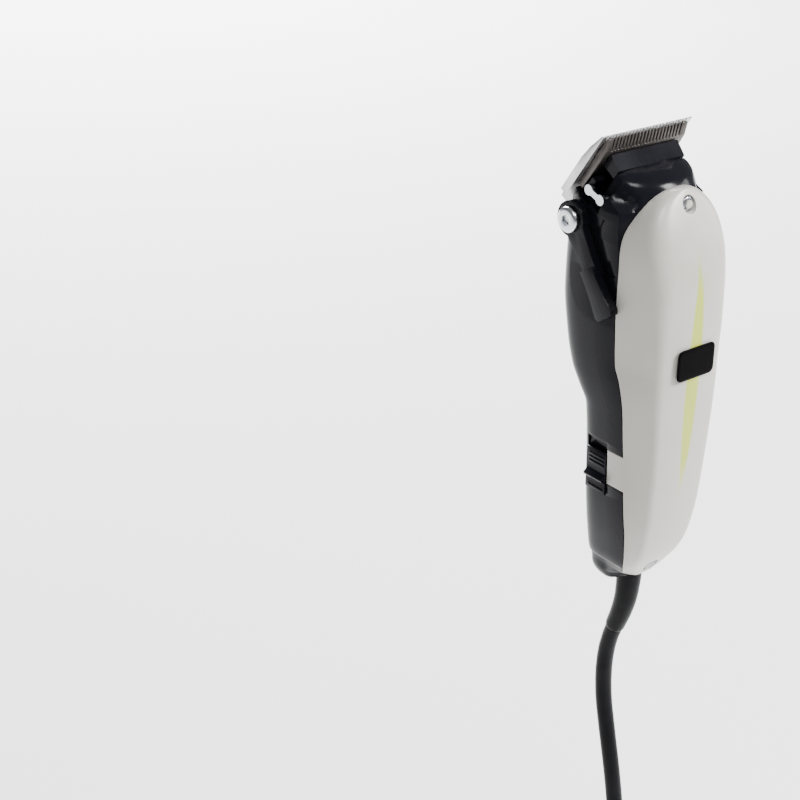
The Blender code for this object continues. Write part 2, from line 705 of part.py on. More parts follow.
def make_core(mat):
    """E-shaped stack of laminations with its poles facing the armature."""
    legs = [(-5.0, 2.0), (13.0, 25.0), (36.0, 43.0)]
    yoke = 10.0
    outline = [(CORE_BACK_X, -5.0), (CORE_BACK_X, 43.0)]
    for low, high in reversed(legs):
        outline += [(POLE_X, high), (POLE_X, low), (yoke, low)]
        if low > legs[0][0]:
            below = legs[legs.index((low, high)) - 1][1]
            outline.append((yoke, below))
    outline.pop(-1)
    low_y, high_y = MOTOR_Y - STACK / 2, MOTOR_Y + STACK / 2
    obj = place(prism(outline, "Y", low_y, high_y), "stator_core", mat)
    for z in (-1.5, 39.5):
        cut(obj, rod((12.2, low_y - 2, z), (12.2, high_y + 2, z), 1.5, 12))
    return obj


def ring_round_leg(name, mat, x, inner, outer, corner):
    """Rectangular winding or former around the middle leg, from x[0] to x[1]."""
    def outline(grow):
        half_y, half_z = STACK / 2 + grow, 6.0 + grow
        points = []
        radius = min(corner, grow)
        for sy, sz, first in ((1, 1, 0), (-1, 1, 90), (-1, -1, 180), (1, -1, 270)):
            centre = (MOTOR_Y + sy * (half_y - radius), 19.0 + sz * (half_z - radius))
            points += arc(centre, radius, first, first + 90, 3)
        return points
    obj = place(prism(outline(outer), "X", x[0], x[1]), name, mat)
    return cut(obj, prism(outline(inner), "X", x[0] - 1, x[1] + 1))


def make_bobbin(mat):
    obj = ring_round_leg("coil_bobbin", mat, (-3.2, 9.6), GAP, 1.2, 1.0)
    for low in (-3.2, 8.6):
        add(obj, box((low, MOTOR_Y - 16.0, 9.0), (low + 1.0, MOTOR_Y + 16.0, 29.0)))
    half_y = STACK / 2 + GAP
    cut(obj, box((-5, MOTOR_Y - half_y, 13.0 - GAP), (11, MOTOR_Y + half_y, 25.0 + GAP)))
    return obj


def make_coil(mat):
    return ring_round_leg("coil", mat, (-1.9, 8.3), 1.5, 8.6, 4.0)


def arm_outline():
    """Arm in the (x, z) plane: pivot eye, straight limb beside the armature, offset nose."""
    px, pz = ARM_PIVOT
    eye = arc((px, pz), 4.6, 150, 400, 12)
    limb = [(-12.4, -6.0), (-12.4, 43.3), (-7.7, 46.4), (-7.7, 53.6), (1.9, 61.5), (1.9, 66.6)]
    back = [(-1.9, 66.6), (-2.6, 62.8), (-13.2, 54.0), (-13.2, 46.4), (-16.2, 43.3), (-16.2, -7.5)]
    return eye + limb + back


def make_arm(mat, parent):
    px, pz = ARM_PIVOT
    origin = (px, MOTOR_Y, pz)
    obj = place(prism(arm_outline(), "Y", MOTOR_Y - 3.5, MOTOR_Y + 3.5), "drive_arm", mat, parent, origin)
    return cut(obj, rod((px, -10, pz), (px, 20, pz), 1.8, 16))


def make_armature(mat, parent):
    low = (POLE_X - AIR_GAP - 7.0, MOTOR_Y - 6.5, -5.0)
    high = (POLE_X - AIR_GAP, MOTOR_Y + 6.5, 43.0)
    obj = place(box(low, high), "armature", mat, parent, (ARM_PIVOT[0], MOTOR_Y, ARM_PIVOT[1]))
    return obj


def make_finger(mat, parent):
    """Plastic finger from the arm's nose through the guide into the moving blade's slot."""
    v0, v1 = FINGER_V
    tip_a, tip_b = blade_point(0, v0, 1.4), blade_point(0, v1, 1.4)
    root_b = blade_point(0, v1, 17.0)
    root_a = blade_point(0, v0, 17.0)
    outline = [
        tip_a[1:], tip_b[1:], root_b[1:], (MOTOR_Y + 3.6, 66.9), (MOTOR_Y - 2.6, 66.9),
        (MOTOR_Y - 2.6, 69.6), root_a[1:],
    ]
    origin = (ARM_PIVOT[0], MOTOR_Y, ARM_PIVOT[1])
    return place(prism(outline, "X", -1.6, 1.6), "arm_finger", mat, parent, origin)


def make_pivot_pin(mat):
    px, pz = ARM_PIVOT
    profile = [(2.6, 0), (2.6, 1.0), (1.5, 1.01), (1.5, 16.4)]
    return place(turned(profile, (px, -4.9, pz), (0, 1, 0), 16), "arm_pivot_pin", mat)


def make_bracket(mat):
    """U-shaped steel bracket whose two ears hold the arm's pivot pin."""
    low, high = -21.4, -8.0
    outline = [
        (-3.6, high), (-2.2, high), (-2.2, low + 1.4), (9.8, low + 1.4), (9.8, high), (11.3, high),
        (11.3, low), (-3.6, low),
    ]
    obj = place(prism(outline, "X", -13.6, 6.6), "arm_bracket", mat)
    px, pz = ARM_PIVOT
    cut(obj, rod((px, -6, pz), (px, 14, pz), 1.8, 16))
    cut(obj, rod((3.5, -6, -14.0), (3.5, 8.0, -14.0), 3.0, 14))
    cut(obj, rod((3.5, 8.0, -14.0), (3.5, 14, -14.0), 1.6, 12))
    return obj


def make_spring(name, mat, x0, x1, radius, wire, turns):
    """Helical compression spring along X at the arm's upper part."""
    count = turns * 8
    points = []
    for i in range(count + 1):
        angle = 2 * math.pi * turns * i / count
        x = x0 + wire + (x1 - x0 - 2 * wire) * i / count
        points.append((x, MOTOR_Y + radius * math.cos(angle), 50.0 + radius * math.sin(angle)))
    return tube(name, points, wire, mat, 0)


def make_power_screw(mat, parent):
    """Adjusting screw on the right side, with a slotted knob-like head."""
    head_top = (24.4, MOTOR_Y, 50.0)
    profile = [(3.4, 0), (3.9, 0.5), (3.9, 2.6), (1.7, 2.61), (1.7, 10.6), (3.0, 10.61), (3.0, 11.8)]
    obj = place(turned(profile, head_top, (-1, 0, 0), 20), "power_screw", mat, parent, head_top)
    return cut(obj, box((23.4, MOTOR_Y - 5, 49.5), (26, MOTOR_Y + 5, 50.5)))


# ---------------------------------------------------------------- switch and wiring

def make_switch(mat, parent):
    """Slide button: flat plate, grip ridge and a stem through the wall."""
    origin = (-19.0, 5.0, -34.0)
    obj = place(box((-20.5, 0.2, -42.6), (-19.1, 10.6, -25.4)), "switch_slider", mat, parent, origin)
    ridge = [(-19.6, -38.6), (-22.4, -36.8), (-22.6, -35.8), (-19.6, -33.6)]
    add(obj, prism(ridge, "Y", 0.2, 9.8))
    for z in (-31.0, -28.6, -41.2):
        add(obj, box((-21.0, 1.0, z), (-20.0, 9.0, z + 0.9)))
    add(obj, box((-20.0, 3.0, -37.0), (-17.0, 7.0, -32.0)))
    return obj


def make_switch_block(mat):
    obj = place(box((-15.9, 0.2, -42.2), (-9.0, 9.2, -23.0)), "switch_block", mat)
    return cut(obj, box((-20.0, 2.6, -38.6), (-13.2, 7.4, -26.4)))


def make_contact(mat):
    """Bent leaf that the slider's stem presses."""
    outline = [
        (-14.9, -38.0), (-14.4, -38.0), (-14.4, -33.0), (-13.6, -31.0), (-14.4, -29.0), (-14.4, -27.0),
        (-14.9, -27.0), (-14.9, -29.2), (-14.1, -31.0), (-14.9, -32.8),
    ]
    return place(prism(outline, "Y", 3.2, 6.8), "switch_contact", mat)


def make_leads(mats):
    routes = {
        "lead_line": [
            (-1.8, 3.4, -78.5), (-4.5, 4.0, -78.0), (-6.8, 5.8, -75.0), (-7.8, 8.0, -66.0), (-9.5, 7.0, -55.0),
            (-11.5, 5.0, -48.0), (-12.0, 5.0, -42.6),
        ],
        "lead_neutral": [
            (1.8, 3.4, -78.5), (4.5, 4.0, -78.0), (6.8, 5.8, -75.0), (9.0, 9.0, -60.0), (11.0, 9.0, -40.0),
            (13.0, 5.0, -24.0), (12.0, -2.0, -12.0), (8.0, -8.6, -6.0), (5.0, -10.5, 3.6),
        ],
        "lead_switch": [
            (-11.0, -1.2, -30.0), (-9.5, -4.0, -26.0), (-6.0, -7.5, -20.0), (-2.0, -9.0, -12.0),
            (0.0, -9.6, -4.0), (1.0, -10.5, 3.6),
        ],
    }
    for (name, route), mat in zip(routes.items(), mats):
        tube(name, smooth_route(route, 4.0), 0.9, mat, 1)


# ---------------------------------------------------------------- cord

RELIEF_ROUTE = [(0, 3.4, -79.6), (0, 3.4, -84.0), (0, 3.5, -90.0), (0, 4.3, -98.0), (0, 6.3, -106.0), (0, 8.9, -113.4)]
CORD_ROUTE = [
    (0, 9.05, -113.8), (0, 11.4, -121.0), (0, 13.0, -129.0), (0, 13.6, -139.0), (0, 12.6, -152.0),
    (0, 9.4, -167.0), (0, 5.4, -184.0), (0, 2.0, -201.0), (0, 0.4, -216.0), (0, HANK_FRONT_Y, HANK_TOP + GAP),
]


def make_strain_relief(mat):
    """Tapered sleeve along the cord's first bend, with a collar inside the housing."""
    points = [Vector(p) for p in smooth_route(RELIEF_ROUTE, 3.0)]
    rings = []
    for i, point in enumerate(points):
        ahead = points[min(i + 1, len(points) - 1)] - points[max(i - 1, 0)]
        along = ahead.normalized()
        side = Vector((1, 0, 0))
        other = along.cross(side)
        share = i / (len(points) - 1)
        radius = RELIEF_TOP_RADIUS + (RELIEF_END_RADIUS - RELIEF_TOP_RADIUS) * share
        angles = [2 * math.pi * k / 16 for k in range(16)]
        rings.append([point + radius * (math.cos(a) * side + math.sin(a) * other) for a in angles])
    obj = place(loft(rings), "strain_relief", mat)
    return add(obj, box((-6.6, -1.9, -82.4), (6.6, 9.8, -80.4)))


def make_hank(mat):
    """Outer shape of the folded cord: a flat oval of the turns, hanging in line."""
    top = HANK_TOP - HANK_RADIUS
    outline = arc((0, top), HANK_RADIUS, 0, 180, 12)
    outline += arc((0, top - HANK_STRAIGHT), HANK_RADIUS, 180, 360, 12)
    low_y, high_y = HANK_Y - HANK_HALF_DEPTH, HANK_Y + HANK_HALF_DEPTH
    return place(prism(outline, "Y", low_y, high_y), "cord_hank", mat)


def make_tie(mat):
    """Strap round the waist of the hank."""
    middle = HANK_TOP - HANK_RADIUS - HANK_STRAIGHT / 2
    half_x = HANK_RADIUS + GAP
    half_y = HANK_HALF_DEPTH + GAP
    low = (-half_x - TIE_WALL, HANK_Y - half_y - TIE_WALL, middle - 6.0)
    high = (half_x + TIE_WALL, HANK_Y + half_y + TIE_WALL, middle + 6.0)
    obj = place(box(low, high), "cord_tie", mat)
    return cut(obj, box((-half_x, HANK_Y - half_y, middle - 7.0), (half_x, HANK_Y + half_y, middle + 7.0)))


def make_plug(mat, pin_mat):
    """Flat two-pin plug on the cord's last stretch under the hank."""
    start = HANK_TOP - 2 * HANK_RADIUS - HANK_STRAIGHT - GAP
    end = start - CORD_END_LENGTH
    tube("cord_end", smooth_route([(0, HANK_BACK_Y, start), (0, HANK_BACK_Y, end)], 6.0), CORD_RADIUS, mat)
    top = end - GAP
    outline = [
        (4.5, top), (7.0, top - 6.0), (12.6, top - 14.0), (13.2, top - 30.0), (11.8, top - 32.0),
        (-11.8, top - 32.0), (-13.2, top - 30.0), (-12.6, top - 14.0), (-7.0, top - 6.0), (-4.5, top),
    ]
    body = place(prism(outline, "Y", HANK_BACK_Y - 6.5, HANK_BACK_Y + 6.5), "plug_body", mat)
    for side, label in ((-1, "left"), (1, "right")):
        seat = (side * 9.5, HANK_BACK_Y, top - 26.0)
        cut(body, rod(seat, (side * 9.5, HANK_BACK_Y, top - 34.0), 2.3, 12))
        profile = [(2.0, 0), (2.0, 24.5), (1.2, 25.7)]
        pin_start = (side * 9.5, HANK_BACK_Y, top - 26.0 - GAP)
        place(turned(profile, pin_start, (0, 0, -1), 14), f"plug_pin_{label}", pin_mat)


# ---------------------------------------------------------------- assembly

def clear_scene():
    for obj in list(bpy.data.objects):
        bpy.data.objects.remove(obj, do_unlink=True)


def main():
    clear_scene()
    cream = material("cream_plastic", (0.82, 0.79, 0.72), 0.35)
    black = material("black_plastic", (0.015, 0.015, 0.018), 0.3)
    badge = material("badge_black", (0.004, 0.004, 0.004), 0.2)
    steel = material("blade_steel", (0.52, 0.52, 0.52), 0.35, 1.0)
    dark_steel = material("dark_blade_steel", (0.12, 0.11, 0.11), 0.4, 1.0)
    bright = material("screw_steel", (0.7, 0.72, 0.75), 0.22, 1.0)
    laminate = material("laminated_steel", (0.3, 0.3, 0.32), 0.5, 1.0)
    copper = material("copper_winding", (0.6, 0.25, 0.1), 0.35, 1.0)
    bobbin = material("bobbin_plastic", (0.7, 0.66, 0.55), 0.5)
    alloy = material("die_cast_alloy", (0.55, 0.55, 0.57), 0.45, 1.0)
    brass = material("brass", (0.75, 0.55, 0.25), 0.3, 1.0)
    cord = material("cord_black", (0.012, 0.012, 0.014), 0.5)
    wires = [material("lead_brown", (0.2, 0.08, 0.03), 0.5), material("lead_blue", (0.03, 0.1, 0.4), 0.5),
             material("lead_white", (0.7, 0.7, 0.7), 0.5)]

    make_housing(black)
    make_cover(cream)
    make_badge(badge)
    screw("front_cover_screw", bright, (0, -9.6 - GAP - 1.5, 71.3), (0, 1, 0), 2.7, 1.5, 1.2, 10.0)
    inward = Vector((0, 0.8, 0.6))
    screw("rear_cover_screw", bright, Vector((0, -6.9, -77.0)) - inward * 1.1, inward, 2.7, 1.5, 1.2, 11.5)

    make_fixed_blade(steel)
    for x, label in ((-SCREW_X, "left"), (SCREW_X, "right")):
        top = blade_point(x, SCREW_V, -FIXED_THICKNESS - 1.9)
        inward_w = Vector(blade_point(x, SCREW_V, 1.0)) - Vector(blade_point(x, SCREW_V, 0.0))
        screw(f"blade_screw_{label}", bright, top, inward_w, 3.2, 1.6, 1.2, 9.6)

    carriage = joint_empty("carriage_axis", blade_point(0, 20.0, MOVING_THICKNESS + GAP))
    make_blade_guide(black, carriage)
    make_blade_spring(bright, carriage)
    make_guide_link(bright, carriage)
    cutter = joint_empty("cutter_axis", blade_point(0, 12.0, 0))
    make_moving_blade(dark_steel, cutter)

    lever = joint_empty("lever_axis", (-21.8, *LEVER_HUB))
    make_lever(black, lever)
    make_lever_shaft(alloy, lever)
    make_lever_screw(bright, lever)

    make_core(laminate)
    make_bobbin(bobbin)
    make_coil(copper)
    low_y = MOTOR_Y - STACK / 2
    for z, label in ((-1.5, "rear"), (39.5, "front")):
        screw(f"core_screw_{label}", bright, (12.2, low_y - GAP - 1.5, z), (0, 1, 0), 2.5, 1.5, 1.2, 20.0)
    arm = joint_empty("arm_axis", (ARM_PIVOT[0], MOTOR_Y, ARM_PIVOT[1]))
    make_arm(alloy, arm)
    make_armature(laminate, arm)
    make_finger(black, arm)
    make_pivot_pin(bright)
    make_bracket(alloy)
    screw("bracket_screw", bright, (3.5, 8.0, -14.0), (0, 1, 0), 2.5, 1.5, 1.2, 6.0)
    make_spring("return_spring_left", bright, -19.7, -13.5, 2.4, 0.45, 3)
    make_spring("return_spring_right", bright, -7.4, 12.3, 2.4, 0.45, 7)
    knob = joint_empty("power_axis", (24.4, MOTOR_Y, 50.0))
    make_power_screw(bright, knob)

    slider = joint_empty("switch_axis", (-19.0, 5.0, -34.0))
    make_switch(black, slider)
    make_switch_block(bobbin)
    make_contact(brass)
    make_leads(wires)

    make_strain_relief(cord)
    tube("power_cord", smooth_route(CORD_ROUTE, 5.0), CORD_RADIUS, cord)
    make_hank(cord)
    make_tie(cord)
    make_plug(cord, bright)


main()
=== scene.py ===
"""Looks of the corded hair clipper: camera, cord, casing, blades and finishes over the CAD frame.

Lengths are in millimetres, in the frame of part.py: +Z to the blades, cover to -Y,
lever to -X. place() turns the meshes into metres. Camera and lights are in metres.
"""

import math

import bmesh
import bpy
import numpy as np
from mathutils import Matrix, Vector


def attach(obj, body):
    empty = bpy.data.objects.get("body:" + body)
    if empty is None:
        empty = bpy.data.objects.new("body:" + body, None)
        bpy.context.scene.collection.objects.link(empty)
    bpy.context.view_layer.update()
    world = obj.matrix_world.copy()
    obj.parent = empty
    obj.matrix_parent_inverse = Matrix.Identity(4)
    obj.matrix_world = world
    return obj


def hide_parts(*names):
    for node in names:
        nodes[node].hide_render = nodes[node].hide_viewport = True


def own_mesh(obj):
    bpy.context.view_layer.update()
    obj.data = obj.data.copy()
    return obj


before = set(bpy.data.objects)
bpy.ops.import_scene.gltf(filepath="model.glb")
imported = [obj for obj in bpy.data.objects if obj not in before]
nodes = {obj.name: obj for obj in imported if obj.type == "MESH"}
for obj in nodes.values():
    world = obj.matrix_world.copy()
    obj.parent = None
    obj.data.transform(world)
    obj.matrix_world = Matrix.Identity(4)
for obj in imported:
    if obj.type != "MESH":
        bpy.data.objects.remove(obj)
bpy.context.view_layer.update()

MM = 0.001
GAP = 0.3
RIM_GAP = 0.4

BLADE_WIDTH = 44.0
BLADE_TIP = (10.0, 94.0)
BLADE_LEAN = math.radians(35.0)
FIXED_LENGTH = 35.0
FIXED_THICKNESS = 3.2
MOVING_WIDTH = 39.6
MOVING_START = 1.0
MOVING_END = 24.0
MOVING_THICKNESS = 3.0
TOOTH_PITCH = 1.65
SCREW_X = 14.5
SCREW_V = 28.5

WALL = 2.0
HOUSING_WALL = 2.2
BACK_PAD_Y = 31.7
ARCH_CENTRE = 44.0
ARCH_TOP = 76.4
ARCH_POWER = 2.25
TAIL_END = -82.0
TAIL_START = -78.0
TAIL_CENTRE_Y = 4.5
TAIL_LIFT = 4.5
LEDGE_Z = -74.0
LEDGE_RUN = 0.6
LEDGE_DEPTH = 0.6
HOUSING_END = -87.0
NOSE_TOP = 81.6
NOSE_CROWN = 6.0
NOSE_REACH = 20.0
POCKET_W = 9.9
SIDE_POCKET_W = 14.4
CORNER_POWER = 6.0
FRONT_STEPS = 36
BACK_STEPS = 56

BADGE_Z = 14.6
COVER_SCREW_HEAD = (2.7, 1.5)
FRONT_SCREW_Z = 71.3
REAR_SCREW_SEAT = Vector((0, -6.9, -77.0))
REAR_SCREW_INWARD = Vector((0, 0.8, 0.6))

LEVER_HUB = (21.4, 62.1)
MOTOR_Y = 3.5
STACK = 15.0
SPRING_Z = 50.0
SPRING_RADIUS = 2.4
SPRING_WIRE_RADIUS = 0.45

CORD_RADIUS = 3.5
RELIEF_TOP_RADIUS = 5.3
RELIEF_END_RADIUS = 4.0
HANK_TOP = -229.0
HANK_RADIUS = 28.0
HANK_STRAIGHT = 130.0
HANK_TURNS = 5
HANK_PITCH = 7.04
HANK_BACK_Y = 35.0
PLUG_TOP = -432.6
PLUG_HALF_DEPTH = 6.5
PLUG_PIN_X = 9.5
TIE_CENTRE = (0.0, 17.5, -322.0)

# Body stations, read along z by smooth interpolation.
HALF_WIDTH = [
    (-87, 10.0), (-84, 13.2), (-76, 14.6), (-72, 15.9), (-66, 17.0), (-56, 18.5), (-46, 19.5),
    (-26, 20.5), (-10, 21.5), (6, 22.3), (34, 22.6), (52, 22.0), (64, 21.5), (76, 20.2),
    (79, 18.8), (81.6, 16.8),
]
COVER_HALF_WIDTH = [
    (-82, 6.8), (-80, 10.2), (-77, 13.2), (-72, 15.8), (-66, 17.3), (-56, 18.5), (-46, 19.5),
    (-26, 20.5), (-10, 21.5), (6, 22.3), (34, 22.6), (78, 22.6),
]
RIM = [
    (-87, -1.9), (-82, -2.4), (-77, -5.2), (-72, -7.6), (-66, -9.2), (-56, -9.8), (-46, -9.4),
    (-20, -8.3), (-4, -7.6), (6, -5.6), (13, -2.9), (24, -2.2), (34, -1.8), (81, -1.8),
]
FACE = [
    (-82, -4.7), (-77, -7.8), (-72, -11.0), (-66, -13.8), (-58, -16.2), (-46, -18.2), (-20, -20.0),
    (6, -20.6), (24, -20.9), (40, -20.6), (52, -18.8), (58, -17.2), (64, -15.2), (71, -12.2), (78, -8.9),
]
CREASE = [
    (-82, 0.66), (-46, 0.66), (-10, 0.675), (6, 0.69), (24, 0.735), (44, 0.78), (58, 0.84), (78, 0.90),
]
NOSE_CENTRE = [
    (66, -6.3), (72, -6.2), (75, -5.5), (78, -3.7), (80, -0.4), (81, 3.0), (81.6, 6.0),
]
NOSE_DROP = [(66, 6.0), (70, 6.8), (75.6, 10.6), (80, 10.0), (81.6, 7.0)]
SCOOP_EDGE = [(71.6, 12.6), (73.3, 15.0), (75.3, 16.0), (78.5, 17.0), (81, 17.5)]
SCOOP_DEPTH = 3.2
CREASE_DROP = 0.13
CREASE_ROUND = [(-82, 1.6), (-10, 1.8), (20, 3.2), (50, 6.0), (78, 6.5)]
BACK = [
    (-87, 10.5), (-84, 13.6), (-76, 15.3), (-56, 15.8), (-20, 16.0), (-9, 16.6), (-2, 21.0), (5, 25.2),
    (18, 28.6), (34, 31.0), (50, 31.2), (66, 30.2), (81, 30.2),
]

RELIEF_ROUTE = [
    (0, 3.4, -79.6), (0, 3.4, -84.0), (0, 3.5, -90.0), (0, 4.3, -98.0), (0, 6.3, -106.0), (0, 8.9, -113.4),
]
CORD_ROUTE = [
    (0, 9.05, -113.8), (0, 11.4, -121.0), (0, 13.0, -129.0), (0, 13.6, -139.0), (0, 12.6, -152.0),
    (0, 9.4, -167.0), (0, 5.4, -184.0), (0, 2.0, -201.0), (0, 0.4, -216.0), (0, 0.0, -228.7),
]

# Camera place and axes, in metres.
CAMERA_LENS = 68.76
CAMERA_SENSOR = 36
CAMERA_SPOT = Vector((-0.387039, -0.358035, 0.238868))
CAMERA_RIGHT = Vector((0.7986, -0.6018, 0.0))
CAMERA_UP = Vector((0.2591, 0.3438, 0.9026))
CAMERA_AHEAD = Vector((0.5432, 0.7208, -0.4305))

# Each light's name, place, aim, side and power, in metres and watts.
LIGHTS = [
    ("key_light", (0.55, -0.70, 0.65), (0, 0, 0), 0.35, 26.0),
    ("side_light", (0.95, -0.35, 0.25), (0, 0, 0), 0.4, 3.5),
    ("small_light", (-0.30, -0.48, 0.86), (0, 0, 0.06), 0.28, 7.0),
    ("floor_light", (1.6, 3.6, 2.2), (1.0, 1.3, -0.5), 2.4, 820.0),
]
SKY_COLOUR = (0.95, 0.97, 1.0, 1.0)
SKY_STRENGTH = 0.22
FLOOR_REACH = 8.0
FLOOR_Z = -0.495

# Each finish's darker and lighter colour, roughness, metallic value, scale of its broad
# noise, and what differs from the defaults of finish_material.
FINISHES = {
    "floor_paper": ((0.93, 0.93, 0.93), (0.95, 0.95, 0.95), 0.9, 0.0, 4.0, {}),
    "cream_plastic": ((0.45, 0.435, 0.395), (0.48, 0.465, 0.425), 0.34, 0.0, 55.0, {
        "bump": 0.10, "bump_scale": 2600.0}),
    "black_plastic": ((0.004, 0.004, 0.006), (0.007, 0.007, 0.010), 0.18, 0.0, 60.0, {
        "bump": 0.04, "bump_scale": 2200.0, "specular": 0.12}),
    "badge_black": ((0.001, 0.001, 0.001), (0.002, 0.002, 0.002), 0.30, 0.0, 80.0, {"specular": 0.02}),
    "blade_steel": ((0.50, 0.50, 0.50), (0.60, 0.60, 0.60), 0.30, 1.0, 300.0, {
        "bump": 0.25, "stretch": (1, 18, 1)}),
    "dark_blade_steel": ((0.075, 0.066, 0.062), (0.11, 0.10, 0.095), 0.42, 1.0, 300.0, {
        "bump": 0.25, "stretch": (1, 18, 1)}),
    "screw_steel": ((0.66, 0.68, 0.72), (0.74, 0.76, 0.79), 0.22, 1.0, 400.0, {
        "bump": 0.08, "bump_scale": 2500.0}),
    "dull_screw_steel": ((0.26, 0.27, 0.29), (0.36, 0.37, 0.39), 0.32, 1.0, 400.0, {
        "bump": 0.08, "bump_scale": 2500.0}),
    "laminated_steel": ((0.22, 0.22, 0.24), (0.34, 0.34, 0.36), 0.5, 1.0, 60.0, {
        "bump": 0.6, "bump_scale": 160.0, "stretch": (1, 14, 1)}),
    "copper_winding": ((0.50, 0.19, 0.07), (0.66, 0.29, 0.13), 0.33, 1.0, 160.0, {
        "bump": 0.9, "bump_scale": 240.0, "stretch": (10, 1, 1)}),
    "bobbin_plastic": ((0.64, 0.60, 0.49), (0.72, 0.68, 0.57), 0.5, 0.0, 90.0, {"bump": 0.1}),
    "die_cast_alloy": ((0.48, 0.48, 0.50), (0.60, 0.60, 0.62), 0.45, 1.0, 220.0, {"bump": 0.4}),
    "brass": ((0.70, 0.50, 0.20), (0.80, 0.60, 0.30), 0.3, 1.0, 200.0, {"bump": 0.15}),
    "cord_black": ((0.005, 0.005, 0.006), (0.009, 0.009, 0.010), 0.36, 0.0, 120.0, {
        "bump": 0.12, "bump_scale": 1500.0, "specular": 0.06}),
    "lead_brown": ((0.16, 0.06, 0.02), (0.24, 0.10, 0.04), 0.5, 0.0, 200.0, {"bump": 0.1}),
    "lead_blue": ((0.02, 0.08, 0.34), (0.04, 0.12, 0.46), 0.5, 0.0, 200.0, {"bump": 0.1}),
    "lead_white": ((0.64, 0.64, 0.64), (0.74, 0.74, 0.74), 0.5, 0.0, 200.0, {"bump": 0.1}),
}

ROUGHNESS_SPREAD = 0.12
BUMP_DISTANCE = 0.0001

# The stripe painted down the cover's face.
STRIPE_HALF_WIDTH = 3.7
STRIPE_LOW = -46.0
STRIPE_HIGH = 60.0
STRIPE_COLOUR = (0.44, 0.50, 0.06)
STRIPE_EDGE = 1.0


# ---------------------------------------------------------------- camera, stage and light

def make_camera():
    """Seen from the front left and above, as the clipper stands in its holder."""
    camera = bpy.data.cameras.new("camera")
    camera.lens = CAMERA_LENS
    camera.sensor_width = CAMERA_SENSOR
    obj = bpy.data.objects.new("camera", camera)
    bpy.context.scene.collection.objects.link(obj)
    rows = list(zip(CAMERA_RIGHT, CAMERA_UP, -CAMERA_AHEAD, CAMERA_SPOT))
    obj.matrix_world = Matrix((*rows, (0, 0, 0, 1)))
    bpy.context.scene.camera = obj


def area_light(name, spot, target, size, energy):
    lamp = bpy.data.lights.new(name, "AREA")
    lamp.size = size
    lamp.energy = energy
    obj = bpy.data.objects.new(name, lamp)
    bpy.context.scene.collection.objects.link(obj)
    obj.location = spot
    obj.rotation_euler = (Vector(target) - Vector(spot)).to_track_quat("-Z", "Y").to_euler()


def make_studio():
    """Pale sky, four soft lights and a white floor below the plug."""
    world = bpy.data.worlds.new("studio")
    world.use_nodes = True
    background = world.node_tree.nodes["Background"]
    background.inputs["Color"].default_value = SKY_COLOUR
    background.inputs["Strength"].default_value = SKY_STRENGTH
    bpy.context.scene.world = world
    for light in LIGHTS:
        area_light(*light)
    mesh = bpy.data.meshes.new("floor")
    corners = [(x * FLOOR_REACH, y * FLOOR_REACH, FLOOR_Z) for x, y in ((-1, -1), (1, -1), (1, 1), (-1, 1))]
    mesh.from_pydata(corners, [], [(0, 1, 2, 3)])
    floor = bpy.data.objects.new("floor", mesh)
    bpy.context.scene.collection.objects.link(floor)
    mesh.materials.append(finish_material("floor_paper"))


# ---------------------------------------------------------------- interpolation

def smooth(table, z):
    """Monotone cubic through a table of (z, value) rows."""
    zs = np.array([row[0] for row in table], dtype=float)
    vs = np.array([row[1] for row in table], dtype=float)
    slopes = np.diff(vs) / np.diff(zs)
    tangents = np.empty_like(vs)
    tangents[0] = slopes[0]
    tangents[-1] = slopes[-1]
    for i in range(1, len(vs) - 1):
        a, b = slopes[i - 1], slopes[i]
        tangents[i] = 0.0 if a * b <= 0 else 2 * a * b / (a + b)
    z = min(max(z, zs[0]), zs[-1])
    i = min(int(np.searchsorted(zs, z, side="right")) - 1, len(zs) - 2)
    h = zs[i + 1] - zs[i]
    t = (z - zs[i]) / h
    start = vs[i] * (1 + 2 * t) * (1 - t) ** 2 + tangents[i] * h * t * (1 - t) ** 2
    end = vs[i + 1] * t * t * (3 - 2 * t) + tangents[i + 1] * h * t * t * (t - 1)
    return float(start + end)


def blend_step(z, low, high):
    t = min(max((z - low) / (high - low), 0.0), 1.0)
    return t * t * (3 - 2 * t)


# ---------------------------------------------------------------- materials

def ramp_between(tree, source, low, high):
    """Map a noise value, which stays near the middle, to a range."""
    node = tree.nodes.new("ShaderNodeMapRange")
    node.inputs["From Min"].default_value = 0.3
    node.inputs["From Max"].default_value = 0.7
    node.inputs["To Min"].default_value = low
    node.inputs["To Max"].default_value = high
    tree.links.new(source, node.inputs["Value"])
    return node.outputs["Result"]


def noise(tree, coords, scale, stretch, detail=3.0):
    mapping = tree.nodes.new("ShaderNodeMapping")
    mapping.inputs["Scale"].default_value = stretch
    tree.links.new(coords, mapping.inputs["Vector"])
    node = tree.nodes.new("ShaderNodeTexNoise")
    node.inputs["Scale"].default_value = scale
    node.inputs["Detail"].default_value = detail
    tree.links.new(mapping.outputs["Vector"], node.inputs["Vector"])
    return node.outputs["Fac"]


